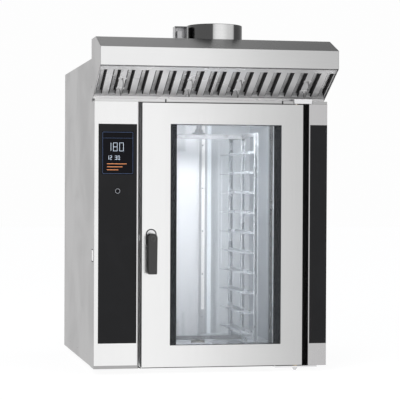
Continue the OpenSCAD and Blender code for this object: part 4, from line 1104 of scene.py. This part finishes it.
@dataclass
class Cabinet(Assembly):
    """The outer panels, the base and what stands behind the front."""

    head_h: float = 1.5 * MM
    seam_z: float = 1.45
    inside_y: float = 0.6

    def _screws(self) -> None:
        """Puts a domed head, crossed on a screw and plain on a rivet, in place of each plain one."""
        rows: dict[tuple[str, Point], list[Point]] = {}
        radius = 0.0
        for low, high in loose_boxes(self.nodes["panel_screws"]):
            size, middle = high - low, (low + high) / 2
            radius = max(radius, size.z / 2)
            if size.x < size.y:
                side = 1.0 if middle.x > 0 else -1.0
                foot = (high.x - self.head_h if side > 0 else low.x + self.head_h, middle.y, middle.z)
                name = ("hood_rivets" if middle.z > self.seam_z else "side_screws")
                name += "_right" if side > 0 else "_left"
                key = (name, (side, 0.0, 0.0))
            else:
                side = 1.0 if middle.y > self.inside_y else -1.0
                foot = (middle.x, low.y if side > 0 else high.y, middle.z)
                key = ("rear_screws" if side > 0 else "baffle_screws", (0.0, side, 0.0))
            rows.setdefault(key, []).append(foot)
        for (name, direction), points in rows.items():
            style = HeadStyle.RIVET if "rivets" in name else HeadStyle.SCREW
            heads = FastenerRow(name, points, direction, radius, self.head_h, style)
            self.add(heads.make(Palette.BRIGHT), "fittings_steel", "panel_screws")

    def build(self) -> None:
        """Dresses the panels."""
        self.paint(Palette.SIDE, "side_panel_left", "side_panel_right")
        self.paint(Palette.REAR, "rear_panel", "top_panel", "base_pan")
        self.paint(Palette.DARK_STEEL, "vent_flue")
        self.paint(Palette.FRAME, "front_bulkhead")
        self.paint(Palette.FEET, "levelling_feet", "cable_gland")
        self.paint(Palette.WOOL, "chamber_insulation")
        self.paint(Palette.RUBBER, "door_gasket")
        self.paint(Palette.BRASS, "water_inlet")
        self.paint(Palette.MACHINED, "drain_outlet")
        self._screws()
        self.paint(Palette.MOTOR, "rack_gearmotor", "fan_motor")


@dataclass
class Chamber(Assembly):
    """The baking chamber with its baffle, fan, heaters and lamps."""

    def build(self) -> None:
        """Dresses the chamber."""
        self.paint(Palette.CHAMBER, "chamber_liner")
        self.paint(Palette.BAFFLE, "air_baffle")
        self.paint(Palette.SHEATH, "heating_elements")
        self.paint(Palette.RACK, "fan_impeller", "steam_pipe")
        self.paint(Palette.BEARING, "rack_bearings")
        self.paint(Palette.LAMP, "chamber_lamps")


@dataclass
class Rack(Assembly):
    """The turning rack: posts and rails of lipped channel with the runners on them."""

    body: str = "rack"
    post: float = 20 * MM
    wall: float = 1.5 * MM
    lip: float = 3.0 * MM
    narrow: float = 1.1

    def _profile(self) -> list[tuple[float, float]]:
        """Gives the section of the channel, open towards its first side.

        Returns:
            The outline's points, within a square at the origin.
        """
        a, t, lip = self.post, self.wall, self.lip
        return [(lip, 0), (lip, t), (t, t), (t, a - t), (a - t, a - t), (a - t, t), (a - lip, t),
                (a - lip, 0), (a, 0), (a, a), (0, a), (0, 0)]

    def _frames(self) -> bpy.types.Object:
        """Makes the two side frames.

        Returns:
            The frames as one piece.
        """
        low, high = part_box("rack_frames")
        a = self.post
        rows = [low.y, (low.y + high.y - a) / 2, high.y - a]

        def build(work: bmesh.types.BMesh) -> None:
            """Adds three posts and two rails of two spans on each side, the rails open downwards."""
            section = self._profile()
            for x in (low.x, high.x - a):
                for y in rows:
                    bar(work, section, lambda u, v, w: (x + u, y + v, w), low.z, high.z)
                for z in (low.z, high.z - a):
                    for y, end in zip(rows, rows[1:]):
                        bar(work, section, lambda u, v, w: (x + u, w, z + v), y + a, end)
        piece = built("rack_frame_channels", build, Palette.RACK)
        # Painted highlight: the narrow front faces of the lips get the lighter copy of the rack steel.
        piece.data.materials.append(Palette.RACK_EDGE.material())
        for face in piece.data.polygons:
            across = [piece.data.vertices[i].co.x for i in face.vertices]
            narrow = max(across) - min(across) < self.narrow * self.lip
            face.material_index = int(face.normal.y < -0.9 and narrow)
        return piece

    def build(self) -> None:
        """Dresses the rack."""
        self.add(self._frames(), "bright_steel", "rack_frames")
        self.paint(Palette.RACK, "rack_runners")
        self.paint(Palette.BEAM, "rack_beams")
        self.paint(Palette.MACHINED, "rack_shaft")


@dataclass
class Door(Assembly):
    """The door with its glass, and the hinges that carry it."""

    body: str = "door"
    side_border: float = 33 * MM
    hinge_border: float = 38 * MM
    end_border: float = 3 * MM
    print_t: float = 0.3 * MM
    grip: float = 7 * MM
    sweep_inset: float = 2 * MM
    sweep_short: float = 145 * MM

    def _border(self) -> bpy.types.Object:
        """Makes the dark printed border inside the outer glass.

        Returns:
            The border's piece.
        """
        low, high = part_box("door_glass")
        x0, x1 = low.x + self.grip, high.x - self.grip
        z0, z1 = low.z + self.grip, high.z - self.grip
        y = high.y - 2 * self.print_t
        outer = ((low.x + MM, low.z + MM), (high.x - MM, low.z + MM),
                 (high.x - MM, high.z - MM), (low.x + MM, high.z - MM))
        inner = ((x0 + self.side_border, z0 + self.end_border),
                 (x1 - self.hinge_border, z0 + self.end_border),
                 (x1 - self.hinge_border, z1 - self.end_border),
                 (x0 + self.side_border, z1 - self.end_border))

        def build(work: bmesh.types.BMesh) -> None:
            """Adds the flat frame."""
            ring_plate(work, outer, inner, lambda u, v, w: (u, y + w, v), self.print_t)
        return built("door_glass_border", build, Palette.BORDER)

    def _sweep(self) -> bpy.types.Object:
        """Makes the rubber strip with its bulb along the door's lower edge.

        Returns:
            The strip's piece.
        """
        low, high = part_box("door_skin")
        # Distance behind the skin's face and height over its lower edge, in millimetres
        section = [(2.0, 0.0), (9.0, 0.0), (9.0, -1.0), (6.5, -1.5), (6.5, -3.0), (5.5, -4.2),
                   (4.0, -4.2), (3.2, -3.0), (3.2, -1.5), (2.0, -1.0)]

        def build(work: bmesh.types.BMesh) -> None:
            """Runs the section along X, short of the hinge side."""
            bar(work, section, lambda u, v, w: (w, low.y + u * MM, low.z + v * MM),
                low.x + self.sweep_inset, high.x - self.sweep_short)
        return built("door_sweep", build, Palette.RUBBER)

    def build(self) -> None:
        """Dresses the door."""
        self.round_sheet("door_skin", 1.0 * MM, Palette.DOOR, "satin_steel")
        self.add(self._border(), "black_glass")
        self.paint(Palette.PAN, "door_inner_pan")
        self.paint(Palette.FOIL, "door_insulation")
        self.add(self._sweep(), "seal")
        self.paint(Palette.OUTER_PANE, "door_glass")
        self.paint(Palette.INNER_PANE, "inner_glass")
        self.paint(Palette.BRASS, "door_hinge_bushes")
        self.paint(Palette.HINGE, "hinge_brackets")
        self.paint(Palette.BRIGHT, "latch_keeper")


@dataclass
class Handle(Assembly):
    """The lever, its rose and the hook behind the door."""

    body: str = "handle"
    trim: float = 5.5 * MM
    cap_r: float = 13.0 * MM
    cap_w: float = 1.6 * MM
    proud: float = 0.25 * MM

    def _trims(self) -> None:
        """Makes the dark trim of the rose and the grey rim of the lever's cap."""
        low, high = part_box("handle_escutcheon")
        middle, width, height = (low + high) / 2, high.x - low.x - MM, high.z - low.z - MM
        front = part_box("handle_lever")[0].y

        def rose(work: bmesh.types.BMesh) -> None:
            """Adds a long ring just inside the rose's edge."""
            inner = 2 * self.trim
            ring_plate(work, plate_outline(width, height, width / 2, 16),
                       plate_outline(width - inner, height - inner, (width - inner) / 2, 16),
                       lambda u, v, w: (middle.x + u, low.y - w, middle.z + v), self.proud)

        def cap(work: bmesh.types.BMesh) -> None:
            """Adds a thin round ring on the cap over the spindle."""
            ring_plate(work, circle_outline(self.cap_r, 40), circle_outline(self.cap_r - self.cap_w, 40),
                       lambda u, v, w: (middle.x + u, front - w, middle.z + v), self.proud)
        self.add(built("rose_trim", rose, Palette.RUBBER), "seal", body="door")
        self.add(built("lever_cap_rim", cap, Palette.CAP_RIM), "black_plastic")

    def build(self) -> None:
        """Dresses the handle."""
        lever = self.round_sheet("handle_lever", 2.2 * MM, Palette.LEVER, "black_plastic")
        # Painted shade: the faces turned to the left get the near-black copy of the lever plastic.
        lever.data.materials.append(Palette.LEVER_SIDE.material())
        for face in lever.data.polygons:
            face.material_index = int(face.normal.x < -0.5)
        self.round_sheet("handle_escutcheon", 1.0 * MM, Palette.BRIGHT, "bright_steel", body="door")
        self._trims()
        self.paint(Palette.MACHINED, "latch_hook")


@dataclass
class Controls(Assembly):
    """The control column and the right cover, with plain signs on the lit screen.

    Places on the screen, and the widths of its bars, are shares of the screen's own size.
    """

    lift: float = 0.3 * MM
    stroke: float = 1.6 * MM
    sign_left: float = 0.16
    degrees_at: float = 0.54
    degrees_h: float = 42 * MM
    time_at: float = 0.34
    time_h: float = 20 * MM
    time_pitch: float = 40 * MM
    bar_at: float = 0.24
    bar_pitch: float = 0.07
    bar_w: float = 0.62
    bar_less: float = 0.13
    bar_h: float = 2.4 * MM
    rule_at: float = 0.84
    frame_in: float = 4 * MM
    frame_w: float = 1 * MM
    key_ring: tuple[float, float] = (0.82, 0.70)
    rim_w: float = 4 * MM
    rim_gap: float = 1.2 * MM
    rim_proud: float = 0.08 * MM
    segments: tuple[str, ...] = ("abcdef", "bc", "abged", "abgcd", "fgbc", "afgcd", "afgedc", "abc",
                                 "abcdefg", "abcdfg")

    def _plate(self, work: bmesh.types.BMesh, x: float, z: float, width: float, height: float) -> None:
        """Adds a thin sign with cut corners to the front of the screen.

        Args:
            work: The mesh being built.
            x: Its left side.
            z: Its lower side.
            width: Its width.
            height: Its height.
        """
        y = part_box("display_panel")[0].y
        cut = 0.35 * min(width, height)
        outline = plate_outline(width, height, cut, 1)
        bar(work, outline, lambda u, v, w: (x + width / 2 + u, y - w, z + height / 2 + v),
            0.05 * MM, self.lift)

    def _number(self, work: bmesh.types.BMesh, text: str, x: float, z: float, size: float) -> None:
        """Adds a number in seven-part digits.

        Args:
            work: The mesh being built.
            text: Its digits.
            x: Its left side.
            z: Its lower side.
            size: The height of a digit.
        """
        width, t = 0.5 * size, self.stroke
        parts = {"a": (0, size - t, width, t), "g": (0, (size - t) / 2, width, t), "d": (0, 0, width, t),
                 "f": (0, size / 2, t, size / 2), "b": (width - t, size / 2, t, size / 2),
                 "e": (0, 0, t, size / 2), "c": (width - t, 0, t, size / 2)}
        for i, digit in enumerate(text):
            for part in self.segments[int(digit)]:
                u, v, across, up = parts[part]
                self._plate(work, x + i * 1.5 * width + u, z + v, across, up)

    def _flap_rim(self) -> bpy.types.Object:
        """Makes the thin dark seal round the service flap.

        Returns:
            The seal's piece.
        """
        low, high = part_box("service_flap")
        middle, rim = (low + high) / 2, self.rim_w
        width, height = high.y - low.y + 2 * self.rim_gap, high.z - low.z + 2 * self.rim_gap
        face_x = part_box("control_box")[0].x

        def build(work: bmesh.types.BMesh) -> None:
            """Adds a flat ring on the column's side."""
            ring_plate(work, plate_outline(width + 2 * rim, height + 2 * rim, 6 * MM),
                       plate_outline(width, height, 2 * MM),
                       lambda u, v, w: (face_x - w, middle.y + u, middle.z + v), self.rim_proud)
        return built("flap_rim", build, Palette.RUBBER)

    def _signs(self) -> None:
        """Makes the numbers, the bars, the frame and the key's ring."""
        (key_low, key_high), (low, high) = loose_boxes(self.nodes["display_panel"])[:2]
        width, height = high.x - low.x, high.z - low.z
        left = low.x + self.sign_left * width

        def numbers(work: bmesh.types.BMesh) -> None:
            """Adds a temperature and a time."""
            self._number(work, "180", left, low.z + self.degrees_at * height, self.degrees_h)
            for i, text in enumerate(("12", "30")):
                self._number(work, text, left + i * self.time_pitch, low.z + self.time_at * height,
                             self.time_h)

        def bars(work: bmesh.types.BMesh) -> None:
            """Adds three bars under the numbers, each shorter than the one above."""
            for i in range(3):
                self._plate(work, left, low.z + (self.bar_at - self.bar_pitch * i) * height,
                            (self.bar_w - self.bar_less * i) * width, self.bar_h)

        def frame(work: bmesh.types.BMesh) -> None:
            """Adds a thin frame and a rule."""
            y = low.y - self.lift
            middle = (low + high) / 2
            outer, inset = self.frame_in, self.frame_in + self.frame_w
            ring_plate(work, plate_outline(width - 2 * outer, height - 2 * outer, outer),
                       plate_outline(width - 2 * inset, height - 2 * inset, outer - self.frame_w),
                       lambda u, v, w: (middle.x + u, y + w, middle.z + v), self.lift)
            self._plate(work, low.x + inset, low.z + self.rule_at * height, width - 2 * inset,
                        self.stroke / 2)

        def ring(work: bmesh.types.BMesh) -> None:
            """Adds the ring of the touch key."""
            y = low.y - self.lift
            key = (key_low + key_high) / 2
            radius = (key_high.x - key_low.x) / 2
            ring_plate(work, *(circle_outline(share * radius, 32) for share in self.key_ring),
                       lambda u, v, w: (key.x + u, y + w, key.z + v), self.lift)
        for name, build, finish in (("screen_numbers", numbers, Palette.SIGN),
                                    ("screen_bars", bars, Palette.SIGN_WARM),
                                    ("screen_frame", frame, Palette.SIGN_DIM),
                                    ("touch_key_ring", ring, Palette.KEY_RING)):
            self.add(built(name, build, finish), "screen")

    def build(self) -> None:
        """Dresses the control column."""
        self._signs()
        self.add(self._flap_rim(), "seal")
        self.paint(Palette.COLUMN, "control_box")
        self.round_sheet("service_flap", 0.4 * MM, Palette.COVER, "satin_steel", body="flap")
        self.round_sheet("control_fascia", 0.6 * MM, Palette.COLUMN_EDGE, "satin_steel")
        self.round_sheet("right_cover", 0.8 * MM, Palette.COVER, "satin_steel")
        self.paint(Palette.PANEL_GLASS, "control_glass")
        self.paint(Palette.SCREEN, "display_panel")
        self.paint(Palette.STRIP_GLASS, "right_glass_strip")
        self.paint(Palette.FEET, "service_socket")


@dataclass
class Hood(Assembly):
    """The hood with its filters, bails, duct collar, gutter and drip tray."""

    tilt: float = math.radians(29.15)
    web_turn: float = 0.6
    # where the painted lit strip on each rear web starts and ends, from the web's start
    slit: float = 8.5 * MM
    opening: float = 25 * MM
    web_min: float = 5 * MM

    def _filter(self, side: str) -> None:
        """Replaces a filter with a copy that carries lit and shaded copies of its steel: painted shade on
        the channel flanks and on the rear webs outside a painted lit strip, and a flat grey on the channel
        ends.

        Args:
            side: "left" or "right".
        """
        node = f"filter_{side}"
        piece = to_object(node + "_channels", merged_copy(self.nodes[node]), Palette.FILTER)
        # lit and shaded copies of the filter steel: painted shade, painted light for the rear webs, flat
        # grey ends
        finishes = (Palette.FILTER_SIDE, Palette.FILTER_REAR, Palette.FILTER_END)
        for finish in finishes:
            piece.data.materials.append(finish.material())
        shadow, rear, end = (i + 1 for i in range(len(finishes)))
        outward = Vector((0.0, -math.sin(self.tilt), -math.cos(self.tilt)))
        low, high = (Vector(corner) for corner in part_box(node))
        middle = (low + high).dot(outward) / 2
        work = bmesh.new()
        work.from_mesh(piece.data)

        def deep_webs() -> list[bmesh.types.BMFace]:
            """Finds the flat faces of the rear channels."""
            return [face for face in work.faces if face.normal.dot(outward) > self.web_turn
                    and face.calc_center_median().dot(outward) < middle]
        long = [face for face in deep_webs() if face.calc_area() > (high.x - low.x) * self.web_min]
        starts = sorted({round(min(vert.co.x for vert in face.verts), 4) for face in long})
        # cut each rear web where its painted lit strip starts and ends
        for start in starts:
            for offset in (self.slit, self.opening):
                webs = deep_webs()
                parts = webs + list({edge for face in webs for edge in face.edges}) \
                    + list({vert for face in webs for vert in face.verts})
                bmesh.ops.bisect_plane(work, geom=parts, dist=1e-6, plane_no=(1.0, 0.0, 0.0),
                                       plane_co=(start + offset, 0.0, 0.0))
        # painted light and shade by facing: flanks get the near-black painted shade, ends the flat grey,
        # rear webs the painted lit strip with painted shade either side
        for face in work.faces:
            middle_x = face.calc_center_median().x
            if abs(face.normal.x) > self.web_turn:
                face.material_index = shadow
            elif abs(face.normal.dot(outward)) < self.web_turn:
                face.material_index = end
            elif face.calc_center_median().dot(outward) < middle:
                along = middle_x - max([start for start in starts if start < middle_x] or [low.x])
                face.material_index = rear if self.slit < along < self.opening else shadow
        work.to_mesh(piece.data)
        work.free()
        log.info("%s: openings after %s", node, starts)
        self.add(piece, "bright_steel", node, body=f"{side}_filter")

    def _tray_stops(self) -> None:
        """Makes the dark clips at the two ends of the drip tray, whose black also stands in for the painted
        shade of the slots there.
        """
        low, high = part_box("drip_tray")
        width, proud, hook = 6.5 * MM, 1.4 * MM, 3 * MM

        def build(work: bmesh.types.BMesh) -> None:
            """Adds a plate with a hook over the tray's edge at each end."""
            for x in (low.x - width / 2, high.x - width / 2):
                box_faces(work, (x, low.y - proud, low.z - 5 * MM),
                          (x + width, low.y - 0.1 * MM, high.z))
                box_faces(work, (x + MM, low.y - proud, high.z),
                          (x + width - MM, low.y + hook, high.z + 1.2 * MM))
        self.add(built("drip_tray_stops", build, Palette.RUBBER), "black_plastic", body="tray")

    def build(self) -> None:
        """Dresses the hood."""
        for side in ("left", "right"):
            self._filter(side)
        self.round_sheet("hood_canopy", 0.7 * MM, Palette.FASCIA, "satin_steel")
        self.round_sheet("hood_sides", 0.6 * MM, Palette.SIDE, "satin_steel")
        self.paint(Palette.REAR, "hood_plenum")
        self.round_sheet("drip_gutter", 0.5 * MM, Palette.GUTTER, "satin_steel")
        self.paint(Palette.GUTTER, "drip_tray")
        self._tray_stops()
        self.paint(Palette.FILTER, "filter_rails")
        self.paint(Palette.BAIL, *(f"filter_{side}_bail_{which}"
                                   for side in ("left", "right") for which in "ab"))
        self.paint(Palette.DUCT, "duct_collar")
        self.round_sheet("collar_box", 1.0 * MM, Palette.MACHINED, "satin_steel")


# ---------------------------------------------------------------- studio


@dataclass(frozen=True)
class Lamp:
    """A soft rectangular lamp: its place, what it points at, its size and its power."""

    name: str
    at: Point
    towards: Point
    size: tuple[float, float]
    watts: float

    def make(self) -> None:
        """Hangs the lamp, unseen in mirror images."""
        data = bpy.data.lights.new(self.name, "AREA")
        data.shape = "RECTANGLE"
        data.size, data.size_y = self.size
        data.energy = self.watts
        made = bpy.data.objects.new(self.name, data)
        made.visible_glossy = False
        made.location = self.at
        aim = Vector(self.towards) - Vector(self.at)
        made.rotation_euler = aim.to_track_quat("-Z", "Y").to_euler()
        bpy.context.scene.collection.objects.link(made)


@dataclass
class Studio:
    """The camera, the lamps, the world and the floor. Three of the lamps light the chamber."""

    lens_mm: float = 139.04
    camera_at: Point = (-1.6602, -8.1585, 0.9209)
    yaw: float = -0.1906
    pitch: float = 0.0157
    roll: float = 0.0043
    shift: tuple[float, float] = (0.0625, 0.0375)
    floor_tone: float = 0.80
    floor_shadow: float = 0.16
    floor_glow: float = 0.90
    around: tuple[tuple[float, float], ...] = (
        (-178, 0.85), (-165, 0.85), (-125, 0.50), (-70, 0.42), (-20, 0.42), (-6, 0.88), (7, 0.92),
        (68, 0.92), (84, 0.45), (148, 0.45), (175, 0.85))
    below: tuple[float, float] = (-0.30, -0.60)
    ground: float = 0.72
    above: tuple[tuple[float, float], ...] = (
        (-60, 0.70), (-12, 0.95), (0, 1.0), (14, 0.95), (30, 0.30), (80, 0.26))
    lamps: tuple[Lamp, ...] = (
        Lamp("key", (-4.0, -6.0, 4.5), (0.0, 0.0, 0.8), (4.0, 3.0), 220.0),
        Lamp("fill", (4.5, -5.0, 2.5), (0.0, 0.0, 0.8), (3.0, 3.0), 80.0),
        Lamp("chamber_top", (0.0, -0.35, 1.28), (0.02, 0.1, 0.4), (0.6, 0.12), 11.0),
        Lamp("chamber_left", (-0.34, -0.36, 0.7), (0.1, 0.3, 0.7), (0.1, 1.0), 6.0),
        Lamp("chamber_right", (0.40, -0.36, 0.7), (0.0, 0.3, 0.7), (0.08, 1.0), 5.0))

    def camera(self) -> None:
        """Makes the camera from the solved view."""
        data = bpy.data.cameras.new("view")
        data.lens = self.lens_mm
        data.sensor_width = 36.0
        data.shift_x, data.shift_y = self.shift
        data.clip_start, data.clip_end = 0.1, 100.0
        ahead = Vector((-math.sin(self.yaw), math.cos(self.yaw), 0.0))
        side = Vector((math.cos(self.yaw), math.sin(self.yaw), 0.0))
        forward = ahead * math.cos(self.pitch) - Vector((0, 0, math.sin(self.pitch)))
        up = ahead * math.sin(self.pitch) + Vector((0, 0, math.cos(self.pitch)))
        right = side * math.cos(self.roll) + up * math.sin(self.roll)
        top = up * math.cos(self.roll) - side * math.sin(self.roll)
        turn = Matrix((right, top, -forward)).transposed()
        made = bpy.data.objects.new("view", data)
        made.matrix_world = Matrix.Translation(self.camera_at) @ turn.to_4x4()
        bpy.context.scene.collection.objects.link(made)
        bpy.context.scene.camera = made

    @staticmethod
    def _ramp(tree: bpy.types.NodeTree, place: bpy.types.NodeSocket,
              stops: Sequence[tuple[float, float]]) -> bpy.types.NodeSocket:
        """Adds a ramp of greys.

        Args:
            tree: The tree to add it to.
            place: The output that runs along the ramp.
            stops: The place and the value of each stop.

        Returns:
            The ramp's colour.
        """
        node = wire(tree, "ShaderNodeValToRGB", {"Fac": place})
        elements = node.color_ramp.elements
        while len(elements) < len(stops):
            elements.new(0.5)
        for element, (position, value) in zip(elements, sorted(stops)):
            element.position = position
            element.color = (value, value, value, 1.0)
        return node.outputs["Color"]

    def world(self) -> None:
        """Makes a white world whose mirror image changes round the object and darkens overhead."""
        world = bpy.data.worlds.new("studio")
        bpy.context.scene.world = world
        world.use_nodes = True
        tree = world.node_tree
        tree.nodes.clear()
        rays = wire(tree, "ShaderNodeLightPath").outputs
        coords = wire(tree, "ShaderNodeTexCoord")
        parts = wire(tree, "ShaderNodeSeparateXYZ", {0: coords.outputs["Generated"]}).outputs
        back = wire(tree, "ShaderNodeMath", {0: parts["Y"], 1: -1.0}, operation="MULTIPLY")
        azimuth = wire(tree, "ShaderNodeMath", {0: parts["X"], 1: back.outputs[0]},
                       operation="ARCTAN2")
        turn = wire(tree, "ShaderNodeMapRange", {
            "Value": azimuth.outputs[0], "From Min": -math.pi, "From Max": math.pi})
        around = self._ramp(tree, turn.outputs["Result"], [
            ((degrees + 180) / 360, value) for degrees, value in self.around])
        rise = wire(tree, "ShaderNodeMapRange", {"Value": parts["Z"], "From Min": -1.0})
        over = self._ramp(tree, rise.outputs["Result"], [
            ((math.sin(math.radians(degrees)) + 1) / 2, value) for degrees, value in self.above])
        both = mixed(tree, 1.0, around, over, blend_type="MULTIPLY")
        below = wire(tree, "ShaderNodeMapRange", {
            "Value": parts["Z"], "From Min": self.below[0], "From Max": self.below[1]},
            interpolation_type="SMOOTHSTEP")
        ground = mixed(tree, below.outputs["Result"], both,
                       (self.ground, self.ground, self.ground, 1.0))
        plain, seen, white = (
            wire(tree, "ShaderNodeBackground", {"Color": color, "Strength": strength}).outputs[0]
            for color, strength in (((0.75, 0.76, 0.78, 1.0), 0.75), (ground, 1.2),
                                    ((0.985, 0.985, 0.985, 1.0), 1.0)))
        clear = wire(tree, "ShaderNodeMath", {
            0: rays["Is Camera Ray"], 1: rays["Is Transmission Ray"]}, operation="MAXIMUM")
        mirrored = wire(tree, "ShaderNodeMixShader", {0: rays["Is Glossy Ray"], 1: plain, 2: seen})
        shown = wire(tree, "ShaderNodeMixShader", {
            0: clear.outputs[0], 1: mirrored.outputs[0], 2: white})
        wire(tree, "ShaderNodeOutputWorld", {"Surface": shown.outputs[0]})

    def floor(self) -> None:
        """Makes a pale floor that shows white and keeps the object's shadow."""
        def build(work: bmesh.types.BMesh) -> None:
            """Adds one large square."""
            bmesh.ops.create_grid(work, x_segments=1, y_segments=1, size=30.0)
        made = bpy.data.objects.new("floor", mesh_from("floor", build))
        bpy.context.scene.collection.objects.link(made)
        material = bpy.data.materials.new("pale_floor")
        material.use_nodes = True
        tree = material.node_tree
        seen = wire(tree, "ShaderNodeLightPath").outputs["Is Camera Ray"]
        glow = wire(tree, "ShaderNodeMath", {0: seen, 1: self.floor_glow}, operation="MULTIPLY")
        feed(tree, tree.nodes["Principled BSDF"], {
            "Roughness": 0.9, "Specular IOR Level": 0.0, "Emission Color": (1.0, 1.0, 1.0, 1.0),
            "Base Color": mapped(tree, seen, self.floor_tone, self.floor_shadow),
            "Emission Strength": glow.outputs[0]})
        made.data.materials.append(material)
        made.visible_glossy = False

    def build(self) -> None:
        """Sets up the studio."""
        bpy.context.scene.view_settings.view_transform = "Standard"
        self.camera()
        self.world()
        self.floor()
        for lamp in self.lamps:
            lamp.make()


def main() -> None:
    """Loads the model, dresses each sub-assembly and sets up the studio."""
    logging.basicConfig(level=logging.INFO, format="%(name)s %(message)s")
    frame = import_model()
    nodes = frame["nodes"]
    for assembly in (Cabinet, Chamber, Rack, Door, Handle, Controls, Hood):
        assembly(nodes).build()
    Studio().build()


if __name__ == "__main__":
    main()
